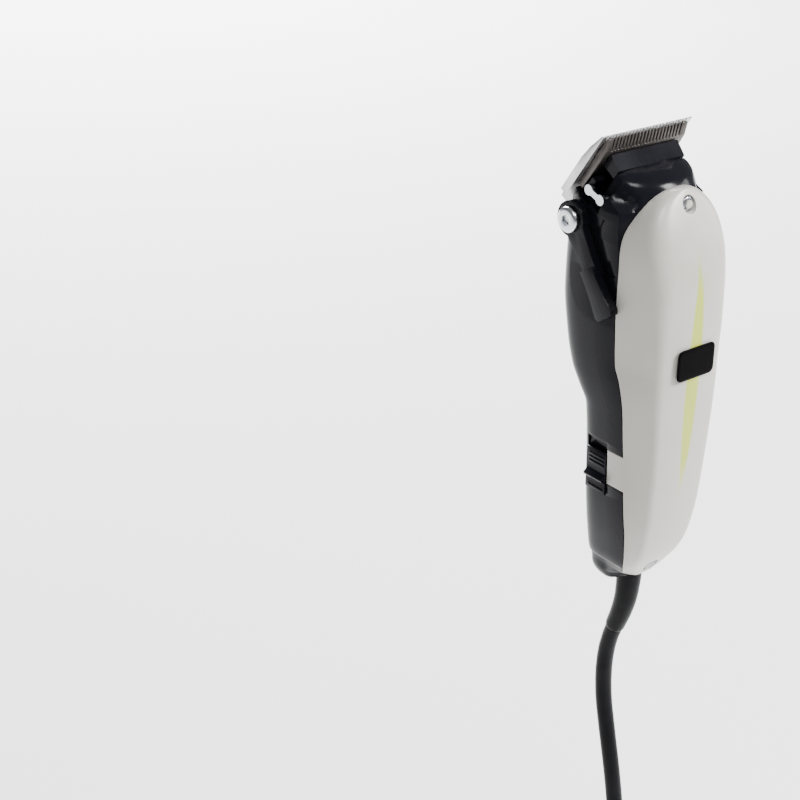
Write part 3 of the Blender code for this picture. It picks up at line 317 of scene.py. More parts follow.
def finish_material(name):
    """Two close colours mixed by a soft noise, uneven roughness and a fine surface grain."""
    dark, light, roughness, metallic, scale, details = FINISHES[name]
    bump = details.get("bump", 0.0)
    bump_scale = details.get("bump_scale", 900.0)
    stretch = details.get("stretch", (1, 1, 1))
    mat = bpy.data.materials.new(name)
    mat.use_nodes = True
    tree = mat.node_tree
    shader = tree.nodes["Principled BSDF"]
    coords = tree.nodes.new("ShaderNodeTexCoord").outputs["Object"]
    broad = noise(tree, coords, scale, stretch)
    mix = tree.nodes.new("ShaderNodeMix")
    mix.data_type = "RGBA"
    mix.inputs["A"].default_value = (*dark, 1.0)
    mix.inputs["B"].default_value = (*light, 1.0)
    tree.links.new(ramp_between(tree, broad, 0.0, 1.0), mix.inputs["Factor"])
    tree.links.new(mix.outputs["Result"], shader.inputs["Base Color"])
    low, high = roughness * (1 - ROUGHNESS_SPREAD), roughness * (1 + ROUGHNESS_SPREAD)
    tree.links.new(ramp_between(tree, broad, low, high), shader.inputs["Roughness"])
    shader.inputs["Metallic"].default_value = metallic
    shader.inputs["Specular IOR Level"].default_value = details.get("specular", 0.5)
    if bump:
        fine = noise(tree, coords, bump_scale, stretch, 2.0)
        node = tree.nodes.new("ShaderNodeBump")
        node.inputs["Strength"].default_value = bump
        node.inputs["Distance"].default_value = BUMP_DISTANCE
        tree.links.new(fine, node.inputs["Height"])
        tree.links.new(node.outputs["Normal"], shader.inputs["Normal"])
    return mat


def maths(tree, operation, a, b=None, clamp=False):
    node = tree.nodes.new("ShaderNodeMath")
    node.operation = operation
    node.use_clamp = clamp
    for socket, value in zip(node.inputs, (a, b)):
        if value is None:
            continue
        if isinstance(value, (int, float)):
            socket.default_value = value
        else:
            tree.links.new(value, socket)
    return node.outputs["Value"]


def add_stripe(mat):
    """Slim tinted lens down the middle of the face, widest half way and fading to both ends."""
    tree = mat.node_tree
    shader = tree.nodes["Principled BSDF"]
    under = shader.inputs["Base Color"].links[0].from_socket
    split = tree.nodes.new("ShaderNodeSeparateXYZ")
    tree.links.new(tree.nodes.new("ShaderNodeTexCoord").outputs["Object"], split.inputs["Vector"])
    middle, reach = (STRIPE_LOW + STRIPE_HIGH) / 2 * MM, (STRIPE_HIGH - STRIPE_LOW) / 2 * MM
    along = maths(tree, "DIVIDE", maths(tree, "SUBTRACT", split.outputs["Z"], middle), reach)
    lens = maths(tree, "SUBTRACT", 1.0, maths(tree, "MULTIPLY", along, along), clamp=True)
    across = maths(tree, "ABSOLUTE", split.outputs["X"])
    edge = maths(tree, "SUBTRACT", maths(tree, "MULTIPLY", lens, STRIPE_HALF_WIDTH * MM), across)
    strength = maths(tree, "MULTIPLY", lens, 1.6, clamp=True)
    mask = maths(tree, "MULTIPLY", maths(tree, "DIVIDE", edge, STRIPE_EDGE * MM, clamp=True), strength)
    outside = maths(tree, "LESS_THAN", split.outputs["Y"], -10.0 * MM)
    mix = tree.nodes.new("ShaderNodeMix")
    mix.data_type = "RGBA"
    mix.inputs["B"].default_value = (*STRIPE_COLOUR, 1.0)
    tree.links.new(maths(tree, "MULTIPLY", mask, outside), mix.inputs["Factor"])
    tree.links.new(under, mix.inputs["A"])
    tree.links.new(mix.outputs["Result"], shader.inputs["Base Color"])


# ---------------------------------------------------------------- mesh tools

def place(bm, name):
    """Turn a millimetre bmesh into an object in metres at the frame's origin."""
    bmesh.ops.recalc_face_normals(bm, faces=bm.faces)
    bmesh.ops.scale(bm, vec=(MM, MM, MM), verts=bm.verts)
    mesh = bpy.data.meshes.new(name)
    bm.to_mesh(mesh)
    bm.free()
    obj = bpy.data.objects.new(name, mesh)
    bpy.context.scene.collection.objects.link(obj)
    return obj


def combine(obj, shape, operation):
    """Boolean with a bmesh or a helper object, applied at once; the helper is removed."""
    helper = shape if isinstance(shape, bpy.types.Object) else place(shape, "helper")
    modifier = obj.modifiers.new("combine", "BOOLEAN")
    modifier.operation = operation
    modifier.object = helper
    bake(obj)
    bpy.data.objects.remove(helper, do_unlink=True)
    return obj


def bake(obj):
    """Replace the object's mesh by its evaluated one and drop its modifiers."""
    graph = bpy.context.evaluated_depsgraph_get()
    graph.update()
    old = obj.data
    obj.data = bpy.data.meshes.new_from_object(obj.evaluated_get(graph))
    obj.modifiers.clear()
    bpy.data.meshes.remove(old)


def cut(obj, shape):
    return combine(obj, shape, "DIFFERENCE")


def add(obj, shape):
    return combine(obj, shape, "UNION")


def soften(obj, width, angle=40.0, segments=2):
    """Round every edge sharper than the angle, then shade smoothly between them."""
    if width:
        modifier = obj.modifiers.new("edges", "BEVEL")
        modifier.width = width * MM
        modifier.segments = segments
        modifier.limit_method = "ANGLE"
        modifier.angle_limit = math.radians(angle)
        modifier.miter_outer = "MITER_ARC"
        bake(obj)
    obj.data.shade_smooth()
    obj.data.set_sharp_from_angle(angle=math.radians(angle))
    return obj


def show(obj, mat, slot, body, *replaced):
    """Give a finished piece its material, its body and the CAD nodes it stands for."""
    obj.data.materials.clear()
    obj.data.materials.append(mat)
    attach(obj, body)
    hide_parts(*replaced)
    return obj


def loft(rings):
    """Closed body through rings of equal length, capped at both ends."""
    bm = bmesh.new()
    rows = [[bm.verts.new(point) for point in ring] for ring in rings]
    count = len(rows[0])
    for lower, upper in zip(rows, rows[1:]):
        for i in range(count):
            j = (i + 1) % count
            bm.faces.new((lower[i], lower[j], upper[j], upper[i]))
    bm.faces.new(rows[0])
    bm.faces.new(rows[-1])
    return bm


def prism(outline, axis, low, high):
    """Outline of (a, b) points extruded along an axis; a and b are the other two, in order."""
    def point(a, b, c):
        return {"X": (c, a, b), "Y": (a, c, b), "Z": (a, b, c)}[axis]
    return loft([[point(a, b, c) for a, b in outline] for c in (low, high)])


def box(low, high):
    outline = [(low[0], low[1]), (high[0], low[1]), (high[0], high[1]), (low[0], high[1])]
    return prism(outline, "Z", low[2], high[2])


def circle(centre, radius, count):
    steps = [2 * math.pi * (i + 0.5) / count for i in range(count)]
    return [(centre[0] + radius * math.cos(a), centre[1] + radius * math.sin(a)) for a in steps]


def turned(profile, start, direction, count=40):
    """Solid turned from (radius, distance) points about a line from start along direction."""
    axis = Vector(direction).normalized()
    side = axis.orthogonal().normalized()
    other = axis.cross(side)
    rings = []
    for radius, along in profile:
        centre = Vector(start) + axis * along
        angles = [2 * math.pi * i / count for i in range(count)]
        rings.append([centre + radius * (math.cos(a) * side + math.sin(a) * other) for a in angles])
    return loft(rings)


def rod(start, end, radius, count=32):
    span = Vector(end) - Vector(start)
    return turned([(radius, 0.0), (radius, span.length)], start, span, count)


def arc(centre, radius, first, last, steps):
    angles = [math.radians(first + (last - first) * i / steps) for i in range(steps + 1)]
    return [(centre[0] + radius * math.cos(a), centre[1] + radius * math.sin(a)) for a in angles]


def cell_plate(xs, vs, present, top, bottom, shift):
    """Plate in the blade frame made of grid cells, each of them there or left out."""
    bm = bmesh.new()
    cache = {}

    def vert(i, j, side):
        key = (i, j, side)
        if key not in cache:
            x = xs[i] + shift(i, j)
            w = top(vs[j]) if side else bottom(vs[j])
            cache[key] = bm.verts.new(blade_point(x, vs[j], w))
        return cache[key]

    def there(i, j):
        return 0 <= i < len(xs) - 1 and 0 <= j < len(vs) - 1 and present(i, j)

    for i in range(len(xs) - 1):
        for j in range(len(vs) - 1):
            if not there(i, j):
                continue
            for side in (0, 1):
                corners = [(i, j), (i + 1, j), (i + 1, j + 1), (i, j + 1)]
                bm.faces.new([vert(a, b, side) for a, b in corners])
            walls = [
                ((i - 1, j), (i, j), (i, j + 1)), ((i + 1, j), (i + 1, j), (i + 1, j + 1)),
                ((i, j - 1), (i, j), (i + 1, j)), ((i, j + 1), (i, j + 1), (i + 1, j + 1)),
            ]
            for neighbour, a, b in walls:
                if not there(*neighbour):
                    bm.faces.new([vert(*a, 0), vert(*b, 0), vert(*b, 1), vert(*a, 1)])
    return bm


def smooth_route(route, spacing):
    """Even points on a Catmull-Rom curve through the route."""
    points = [Vector(p) for p in route]
    padded = [2 * points[0] - points[1], *points, 2 * points[-1] - points[-2]]
    dense = []
    for a, b, c, d in zip(padded, padded[1:], padded[2:], padded[3:]):
        for step in range(24):
            t = step / 24
            dense.append(0.5 * (2 * b + (c - a) * t + (2 * a - 5 * b + 4 * c - d) * t * t
                                + (3 * b - a - 3 * c + d) * t ** 3))
    dense.append(points[-1])
    lengths = [0.0]
    for a, b in zip(dense, dense[1:]):
        lengths.append(lengths[-1] + (b - a).length)
    count = max(2, round(lengths[-1] / spacing) + 1)
    table = np.array([tuple(p) for p in dense])
    wanted = np.linspace(0.0, lengths[-1], count)
    return [tuple(np.interp(s, lengths, table[:, k]) for k in range(3)) for s in wanted]


# ---------------------------------------------------------------- frames and sections

def blade_point(x, v, w):
    """v runs down the blade plane from the tooth tips, w runs from it into the body."""
    y = BLADE_TIP[0] + v * math.sin(BLADE_LEAN) - w * math.cos(BLADE_LEAN)
    z = BLADE_TIP[1] - v * math.cos(BLADE_LEAN) - w * math.sin(BLADE_LEAN)
    return (x, y, z)


def blade_prism(outline, low, high):
    """Outline of (v, w) points extruded from x = low to x = high."""
    return loft([[blade_point(x, v, w) for v, w in outline] for x in (low, high)])


def blade_box(x, v, w):
    return blade_prism([(v[0], w[0]), (v[1], w[0]), (v[1], w[1]), (v[0], w[1])], x[0], x[1])


def front_y(x, z):
    """Front surface of the housing: flat rim below, crowned nose that leans back above."""
    side = (abs(x) / NOSE_REACH) ** 2.2
    if z > NOSE_CENTRE[0][0]:
        y = smooth(NOSE_CENTRE, z) + smooth(NOSE_DROP, z) * side
        edge = max(smooth(SCOOP_EDGE, z), cover_width(z) + 0.8)
        scoop = SCOOP_DEPTH * blend_step(abs(x), edge, edge + 2.2)
        return y + scoop * blend_step(z, 69.5, 71.0) * (1 - blend_step(z, 79.5, 81.6))
    rise = blend_step(z, 48.0, NOSE_CENTRE[0][0])
    edge = smooth(RIM, z) + GAP
    edge += (-0.3 - edge) * rise
    return edge - NOSE_CROWN * rise * (1 - side)


def cover_width(z, inset=0.0):
    width = smooth(COVER_HALF_WIDTH, z) - inset
    if z > ARCH_CENTRE:
        share = min((z - ARCH_CENTRE) / (ARCH_TOP - ARCH_CENTRE - inset), 1.0)
        width *= (1 - share ** ARCH_POWER) ** (1 / ARCH_POWER)
    return width


def cover_ring(z, inset=0.0, depth=9.0, steps=10):
    """Side wall, rounded crease and gently domed face of the cover at one height."""
    width = cover_width(z, inset)
    rim = smooth(RIM, z)
    face = smooth(FACE, z) + inset
    crease = Vector((width * smooth(CREASE, z), face + CREASE_DROP * (rim - face)))
    wall_foot = Vector((width, rim))
    wall_dir = (wall_foot - crease).normalized()
    reach = min(smooth(CREASE_ROUND, z), 0.45 * (wall_foot - crease).length, 0.45 * crease.x)
    wall_end = crease + wall_dir * reach
    inner_x = crease.x - reach
    face_end = Vector((inner_x, face + (crease.y - face) * (inner_x / crease.x) ** 2))
    half = [Vector((width, rim + depth)), wall_foot, wall_foot * 0.5 + wall_end * 0.5]
    for i in range(steps + 1):
        t = i / steps
        half.append(wall_end * (1 - t) ** 2 + crease * 2 * t * (1 - t) + face_end * t * t)
    for i in range(steps - 1, 0, -1):
        x = inner_x * i / steps
        half.append(Vector((x, face + (crease.y - face) * (x / crease.x) ** 2)))
    right = [(p.x, p.y, z) for p in half]
    left = [(-p.x, p.y, z) for p in reversed(half)]
    return right + [(0.0, face, z)] + left


def housing_ring(z, inset=0.0, front=None):
    """Nose or rim line in front, squared-off round back behind, drawn in to the cover at the tail."""
    width = smooth(HALF_WIDTH, z) - inset
    back = smooth(BACK, z) - inset
    rim = smooth(RIM, z)
    lip = width
    if z < -60.0:
        lip = min(width, max(smooth(COVER_HALF_WIDTH, z), 4.0) - inset)
    ledge = LEDGE_DEPTH * (1 - blend_step(z, LEDGE_Z - LEDGE_RUN, LEDGE_Z))
    ring = []
    for i in range(1, BACK_STEPS):
        angle = math.pi * i / BACK_STEPS
        c, s = math.cos(angle), math.sin(angle)
        x = width * math.copysign(abs(c) ** (2 / CORNER_POWER), c)
        y = rim + (back - rim) * abs(s) ** (2 / CORNER_POWER)
        x *= (lip + (width - lip) * blend_step(y, rim, rim + 13.0)) / width
        x -= math.copysign(min(ledge, abs(x)), x) * blend_step(y, rim, rim + 1.0)
        y -= ledge * blend_step(y, back - 3.0, back)
        ring.append((x, y, z))
    for i in range(FRONT_STEPS + 1):
        x = -lip + 2 * lip * i / FRONT_STEPS
        y = front_y(x, z) if front is None else front
        ring.append((x, y, z))
    return ring


def stations(low, high, count, extra=()):
    values = set(round(float(v), 3) for v in np.linspace(low, high, count))
    values.update(extra)
    return sorted(values)


# ---------------------------------------------------------------- casing

LEDGE_LEVELS = (LEDGE_Z - LEDGE_RUN, LEDGE_Z - LEDGE_RUN / 2, LEDGE_Z)
HOUSING_LEVELS = stations(TAIL_START, 81.0, 107, (*LEDGE_LEVELS, -9.0, -2.0, 5.0, NOSE_TOP))


def tail_ring(share):
    """Section of the tail's rounded end; share runs from 0 at its start to 1 at the very end."""
    z = TAIL_START + (HOUSING_END - TAIL_START) * math.sin(share * math.pi / 2)
    scale = 0.30 + 0.70 * math.cos(share * math.pi / 2) ** 0.75
    rim = smooth(RIM, z)
    ring = []
    for x, y, _ in housing_ring(TAIL_START):
        y = TAIL_CENTRE_Y + (y - TAIL_CENTRE_Y) * scale
        lip = max(smooth(COVER_HALF_WIDTH, z) - 0.6, 3.0)
        limit = lip + 16.0 * blend_step(y, rim, rim + 15.0)
        lift = TAIL_LIFT * share * (1 - blend_step(y, rim, rim + 8.0))
        ring.append((math.copysign(min(abs(x) * scale, limit), x), y, z + lift))
    return ring


def make_housing(mat):
    """Hollow lower casing with its pockets, screw holes, switch and cord openings and vents."""
    rings = [tail_ring(i / 9) for i in range(9, 0, -1)]
    rings += [housing_ring(z) for z in HOUSING_LEVELS]
    for lift, inward in ((0.25, 0.988), (0.5, 0.97)):
        shrunk = [(x * inward, y + lift if y < 18 else y - 1.6 * lift) for x, y, _ in rings[-1]]
        rings.append([(x, y, NOSE_TOP + lift) for x, y in shrunk])
    obj = place(loft(rings), "housing_shell")
    cavity = stations(-76.0, 58.0, 24, (-9.0, -2.0, 5.0))
    cut(obj, loft([housing_ring(z, HOUSING_WALL, smooth(RIM, z) - 12.0) for z in cavity]))
    for low, high in (
        ((-13.5, -1.2, 52.0), (13.5, 28.4, 62.0)), ((-13.0, 1.0, 60.0), (13.0, 28.4, 75.8)),
        ((-5.5, -3.2, 60.0), (5.5, 28.2, 72.0)), ((-11.0, 3.0, 60.0), (11.0, 28.2, 77.8)),
    ):
        cut(obj, box(low, high))
    cut(obj, blade_prism([(-8, -40), (26.5, -40), (26.5, POCKET_W), (-8, POCKET_W)], -30, 30))
    cut(obj, blade_prism([(-8, -40), (60, -40), (60, 0.3), (-8, 0.3)], -31, 31))
    for side in (-1, 1):
        sides = sorted((side * 16.8, side * 32.0))
        cut(obj, blade_box(sides, (-8, 24.0), (POCKET_W - 1, SIDE_POCKET_W)))
    cut(obj, lever_recess())
    cut(obj, rod((-30, *LEVER_HUB), (-13.0, *LEVER_HUB), 3.3))
    cut(obj, tab_box(GAP))
    cut(obj, box((-22.5, -0.1, -43.0), (-18.8, 10.9, -20.8)))
    cut(obj, box((-19.5, 2.4, -38.0), (-16.0, 7.6, -26.0)))
    cut(obj, rod((0, 3.4, -92), (0, 3.4, -79), RELIEF_TOP_RADIUS + 0.4))
    cut(obj, box((-6.9, -3.0, -82.7), (6.9, 10.1, -79.0)))
    add_bosses(obj)
    for x in (-SCREW_X, SCREW_X):
        start = Vector(blade_point(x, SCREW_V, 0.0))
        inward = Vector(blade_point(x, SCREW_V, 1.0)) - start
        cut(obj, rod(start - inward, start + inward * 5.5, 1.5))
    cut(obj, rod((30, MOTOR_Y, SPRING_Z), (10, MOTOR_Y, SPRING_Z), 2.1))
    cut(obj, rod((30, MOTOR_Y, SPRING_Z), (21, MOTOR_Y, SPRING_Z), 4.3))
    cut(obj, rod((0, -9, FRONT_SCREW_Z), (0, 0, FRONT_SCREW_Z), 1.5))
    cut(obj, rear_screw_rod(1.5, 1.5, 13.0))
    add(obj, box((-9.0, 29.4, 26.0), (9.0, BACK_PAD_Y, 50.0)))
    for i in range(5):
        z = -46.0 + 5.0 * i
        cut(obj, box((-7.0, 12.0, z), (7.0, 20.0, z + 1.6)))
    soften(obj, 0.3)
    show(obj, mat, "black_plastic", "housing", "bottom_housing")


def lever_recess():
    """Shallow side pocket for the lever, fading out below, around a raised panel in front."""
    depth = [(-32.0, 24.0), (-22.7, 24.0), (-21.4, 44.0), (-21.4, 72.0), (-32.0, 72.0)]
    helper = place(prism(depth, "Y", -7.5, 42.0), "lever_recess_helper")
    panel = [(-12.0, 69.5), (7.4, 67.5), (10.8, 58.0), (7.6, 52.0), (2.0, 46.0), (-12.0, 45.0)]
    return cut(helper, prism(panel, "X", -36.0, -20.0))


def tab_box(grow):
    return box((-24.0, -12.0, -37.6 - grow), (-17.0, -0.4 + grow, -23.3 + grow))


def rear_screw_rod(radius, start, end):
    ends = [REAR_SCREW_SEAT + REAR_SCREW_INWARD * reach for reach in (start, end)]
    return rod(*ends, radius)


def add_bosses(obj):
    """Screw bosses and the pads that carry the motor and the arm bracket."""
    for z in (-1.5, 39.5):
        top = MOTOR_Y + STACK / 2 + GAP
        add(obj, rod((12.2, top, z), (12.2, smooth(BACK, z - 2.6) - 0.4, z), 2.6))
        cut(obj, rod((12.2, top - 1, z), (12.2, top + 4.5, z), 1.5))
    add(obj, rod((3.5, 11.6, -14.0), (3.5, 15.0, -14.0), 3.2))
    cut(obj, rod((3.5, 10.0, -14.0), (3.5, 14.6, -14.0), 1.5))
    add(obj, box((-4.0, -3.6, -76.5), (4.0, 14.2, -68.0)))
    add(obj, rod((21.5, MOTOR_Y, SPRING_Z), (15.0, MOTOR_Y, SPRING_Z), 4.4))
    add(obj, box((-17.4, -1.0, -43.5), (-8.6, -0.2, -42.5)))


def make_cover(mat):
    """Hollow cover with its screw seats, cut along the parting surface."""
    arch_levels = [ARCH_TOP - 2.4 * (1 - i / 9) ** 2 - 0.002 for i in range(1, 10)]
    levels = stations(TAIL_END, 74.0, 98, (-2.0, 13.0, *arch_levels))
    obj = place(loft([cover_ring(z) for z in levels]), "cover_shell")
    inner = stations(-64.0, 73.6, 24, (-2.0, 13.0))
    hollow = place(loft([cover_ring(z, WALL, 14.0) for z in inner]), "cover_hollow")
    cut(hollow, rod((0, -20.0, FRONT_SCREW_Z), (0, 10.0, FRONT_SCREW_Z), 4.0))
    cut(obj, rod((0, -18.0, FRONT_SCREW_Z), (0, -9.6, FRONT_SCREW_Z), 3.2))
    cut(obj, rear_screw_rod(3.4, -4.0, 0.7))
    cut(obj, hollow)
    cut(obj, rim_cutter())
    cut(obj, rod((0, -12, FRONT_SCREW_Z), (0, -2, FRONT_SCREW_Z), 1.5))
    cut(obj, rear_screw_rod(1.5, 0.0, 9.0))
    soften(obj, 0.35)
    show(obj, mat, "cream_plastic", "housing", "top_cover")


def rim_cutter():
    """Everything behind the parting surface, except the tab beside the switch."""
    rings = []
    levels = [HOUSING_END - 8.0, *HOUSING_LEVELS, NOSE_TOP + 4.0]
    for z in levels:
        width = smooth(HALF_WIDTH, z)
        xs = [-30.0] + [-width + 2 * width * i / FRONT_STEPS for i in range(FRONT_STEPS + 1)] + [30.0]
        front = [(x, front_y(math.copysign(min(abs(x), width), x), z) - RIM_GAP, z) for x in xs]
        rings.append(front + [(30.0, 40.0, z), (-30.0, 40.0, z)])
    helper = place(loft(rings), "parting_helper")
    return cut(helper, tab_box(0.0))


def make_badge(mat):
    """Blank plate on the cover with rounded corners and a softly domed front."""
    half_w, half_h, round_r = 9.3, 6.1, 2.2
    face = smooth(FACE, BADGE_Z)
    rings = []
    for inset, rise in ((0.0, GAP), (0.0, 0.62), (0.12, 0.78), (0.4, 0.88), (1.2, 0.9)):
        radius = max(round_r - inset, 0.4)
        outline = []
        for cx, cz, first in ((1, 1, 0), (-1, 1, 90), (-1, -1, 180), (1, -1, 270)):
            centre = (cx * (half_w - inset - radius), cz * (half_h - inset - radius))
            outline += arc(centre, radius, first, first + 90, 8)
        rings.append([(x, face - rise, z + BADGE_Z) for x, z in outline])
    obj = soften(place(loft(rings), "badge_plate"), 0.0, 60)
    show(obj, mat, "badge_black", "housing", "name_badge")


# ---------------------------------------------------------------- fasteners

def make_screw(name, mat, node, head_top, direction, length):
    """Domed head with a driver slot over a plain shank."""
    head_radius, head_height = COVER_SCREW_HEAD
    turns = [math.radians(degrees) for degrees in (12, 30, 50, 70, 90)]
    profile = [(head_radius * math.sin(a), head_height * 0.4 * (1 - math.cos(a))) for a in turns]
    profile += [(head_radius, head_height), (1.2, head_height + 0.01), (1.2, length - 0.8), (0.6, length)]
    obj = place(turned(profile, head_top, direction), name)
    axis = Vector(direction).normalized()
    side = axis.orthogonal().normalized()
    other = axis.cross(side)
    ends = []
    for along in (-1.0, head_height * 0.5):
        centre = Vector(head_top) + axis * along
        corners = [(-1, -1), (1, -1), (1, 1), (-1, 1)]
        ends.append([centre + side * a * head_radius * 1.3 + other * b * 0.38 for a, b in corners])
    cut(obj, loft(ends))
    soften(obj, 0.06, 35)
    show(obj, mat, "screw_steel", "housing", node)


# ---------------------------------------------------------------- blades

def comb_columns(width, pitch):
    """Alternating tooth and gap edges across a blade, with a broad tooth at each side."""
    count = int((width - 4.0) / pitch)
    start = -count * pitch / 2
    xs = [-width / 2]
    for i in range(count):
        xs += [start + (i + 0.31) * pitch, start + (i + 0.69) * pitch]
    xs.append(width / 2)
    return xs


def tooth_shift(xs, vs, length):
    """Teeth narrow towards their tips, and the gaps narrow towards their roots."""
    def shift(i, j):
        if i in (0, len(xs) - 1) or vs[j] >= length:
            return 0.0
        tip = 0.22 * (1 - vs[j] / length) ** 1.5
        root = -0.18 * max(vs[j] / length - 0.8, 0.0) / 0.2
        amount = tip + root
        return -amount if i % 2 else amount
    return shift


def make_fixed_blade(mat):
    """Lower comb with its teeth, two screw holes and notched rear corners."""
    xs = comb_columns(BLADE_WIDTH, TOOTH_PITCH)
    vs = [0.0, 0.6, 2.0, 4.0, 5.6, 6.4, 7.0, 10.0, 13.5, FIXED_LENGTH]
    depth = [
        (0.0, -0.45), (0.6, -0.8), (4.0, -1.6), (7.0, -2.4),
        (13.5, -FIXED_THICKNESS), (FIXED_LENGTH, -FIXED_THICKNESS),
    ]
    bm = cell_plate(
        xs, vs, lambda i, j: j > 5 or i % 2 == 0,
        top=lambda v: -0.12 if v < 0.5 else 0.0,
        bottom=lambda v: float(np.interp(v, *zip(*depth))),
        shift=tooth_shift(xs, vs, 7.0),
    )
    obj = place(bm, "fixed_comb")
    for x in (-SCREW_X, SCREW_X):
        cut(obj, rod(Vector(blade_point(x, SCREW_V, -6.0)), Vector(blade_point(x, SCREW_V, 2.0)), 1.7))
    for side in (-1, 1):
        corner = [(30.5, -8.0), (40.0, -8.0), (40.0, 4.0), (30.5, 4.0)]
        cut(obj, blade_prism(corner, *sorted((side * 19.2, side * 24.0))))
    soften(obj, 0.07, 50, 1)
    show(obj, mat, "blade_steel", "housing", "fixed_blade")


def make_moving_blade(mat):
    """Upper comb with its teeth and the slot that the arm's finger drives."""
    xs = comb_columns(MOVING_WIDTH, TOOTH_PITCH)
    vs = [MOVING_START, 1.5, 3.0, 4.4, 5.1, 5.6, 9.0, MOVING_END]
    rise = [
        (MOVING_START, 0.8), (1.5, 1.1), (3.0, 1.75), (5.6, 2.75),
        (9.0, MOVING_THICKNESS), (MOVING_END, MOVING_THICKNESS),
    ]
    bm = cell_plate(
        xs, vs, lambda i, j: j > 4 or i % 2 == 0,
        top=lambda v: float(np.interp(v, *zip(*rise))),
        bottom=lambda v: GAP,
        shift=tooth_shift(xs, vs, 5.6),
    )
    obj = place(bm, "cutter_comb")
    cut(obj, blade_box((-2.0, 2.0), (14.6, 21.2), (-3.0, 8.0)))
    soften(obj, 0.07, 50, 1)
    show(obj, mat, "dark_blade_steel", "moving_blade", "moving_blade")


# ---------------------------------------------------------------- lever and switch

def make_lever(mat):
    """Flat lever with a round hub, stepping outwards to a wider thumb pad."""
    hub = Vector(LEVER_HUB)
    tip = Vector((0.6, 32.2))
    along = (tip - hub).normalized()
    across = Vector((along.y, -along.x))
    length = (tip - hub).length

    def bar(widths):
        right = [tuple(hub + along * s + across * h) for s, h in widths]
        return right, [tuple(hub + along * s - across * h) for s, h in reversed(widths)]

    turn = math.degrees(math.atan2(along.y, along.x))
    right, left = bar([(5.4, 4.6), (7.4, 4.2), (10.0, 3.9), (15.0, 3.45), (23.0, 3.3)])
    outline = arc(hub, 6.7, turn + 42, turn + 318, 40) + right + left
    obj = place(prism(outline, "X", -25.0, -21.8), "lever_body")
    pad = [(19.0, 3.3), (length - 12.0, 3.35), (length - 7.0, 3.7), (length, 4.6), (length + 1.6, 3.6)]
    right, left = bar(pad)
    add(obj, prism(right + left, "X", -26.6, -23.0))
    cut(obj, rod((-30, *LEVER_HUB), (-20, *LEVER_HUB), 3.3))
    soften(obj, 0.45, 40, 3)
    show(obj, mat, "black_plastic", "taper_lever", "taper_lever")


def make_lever_screw(mat):
    """Broad steel screw head with a hexagon socket, holding the lever."""
    profile = [(3.4, 0.0), (4.2, 0.12), (4.6, 0.45), (4.8, 0.8), (4.8, 1.9), (2.7, 1.91), (2.7, 2.0)]
    obj = place(turned(profile, (-27.2, *LEVER_HUB), (1, 0, 0), 64), "lever_cap_screw")
    cut(obj, prism(circle(LEVER_HUB, 2.1, 6), "X", -28.0, -25.9))
    soften(obj, 0.1, 35)
    show(obj, mat, "screw_steel", "taper_lever", "lever_screw")


def make_power_screw(mat):
    """Adjusting screw on the right side, with a slotted knob-like head."""
    profile = [
        (2.9, 0), (3.5, 0.15), (3.9, 0.6), (3.9, 2.6), (1.7, 2.61), (1.7, 10.6), (3.0, 10.61), (3.0, 11.8),
    ]
    obj = place(turned(profile, (24.4, MOTOR_Y, SPRING_Z), (-1, 0, 0), 48), "power_knob")
    cut(obj, box((23.4, MOTOR_Y - 5, 49.5), (26, MOTOR_Y + 5, 50.5)))
    soften(obj, 0.08, 35)
    show(obj, mat, "screw_steel", "power_screw", "power_screw")


def make_switch(mat):
    """Slide button: flat plate, grip ridge, finger ribs and a stem through the wall."""
    obj = place(box((-20.5, 0.2, -42.6), (-19.1, 10.6, -25.4)), "switch_button")
    ridge = [(-19.6, -38.6), (-22.3, -36.9), (-22.6, -36.3), (-22.5, -35.7), (-19.6, -33.6)]
    add(obj, prism(ridge, "Y", 0.2, 9.8))
    for z in (-31.4, -29.8, -28.2, -41.6):
        add(obj, box((-21.0, 1.0, z), (-20.0, 9.0, z + 0.8)))
    add(obj, box((-20.0, 3.0, -37.0), (-17.0, 7.0, -32.0)))
    soften(obj, 0.18, 35)
    show(obj, mat, "black_plastic", "power_switch", "switch_slider")


# ---------------------------------------------------------------- cord

def make_strain_relief(mat):
    """Tapered sleeve along the cord's first bend, with a plate inside the housing and a rounded end."""
    route = [Vector(p) for p in smooth_route(RELIEF_ROUTE, 1.5)]
    ahead = (route[-1] - route[-2]).normalized()
    route += [route[-1] + ahead * 0.7, route[-1] + ahead * 1.3]
    rings = []
    steps = 32
    for i, point in enumerate(route):
        span = route[min(i + 1, len(route) - 1)] - route[max(i - 1, 0)]
        along = span.normalized()
        side = Vector((1, 0, 0))
        other = along.cross(side)
        share = min(i / (len(route) - 3), 1.0)
        radius = RELIEF_TOP_RADIUS + (RELIEF_END_RADIUS - RELIEF_TOP_RADIUS) * share
        if i > len(route) - 3:
            radius -= 0.16 if i == len(route) - 2 else 0.5
        angles = [2 * math.pi * k / steps for k in range(steps)]
        rings.append([point + radius * (math.cos(a) * side + math.sin(a) * other) for a in angles])
    obj = place(loft(rings), "relief_sleeve")
    add(obj, box((-6.6, -1.9, -82.4), (6.6, 9.8, -80.4)))
    soften(obj, 0.0, 40)
    show(obj, mat, "cord_black", "housing", "strain_relief")
    return obj


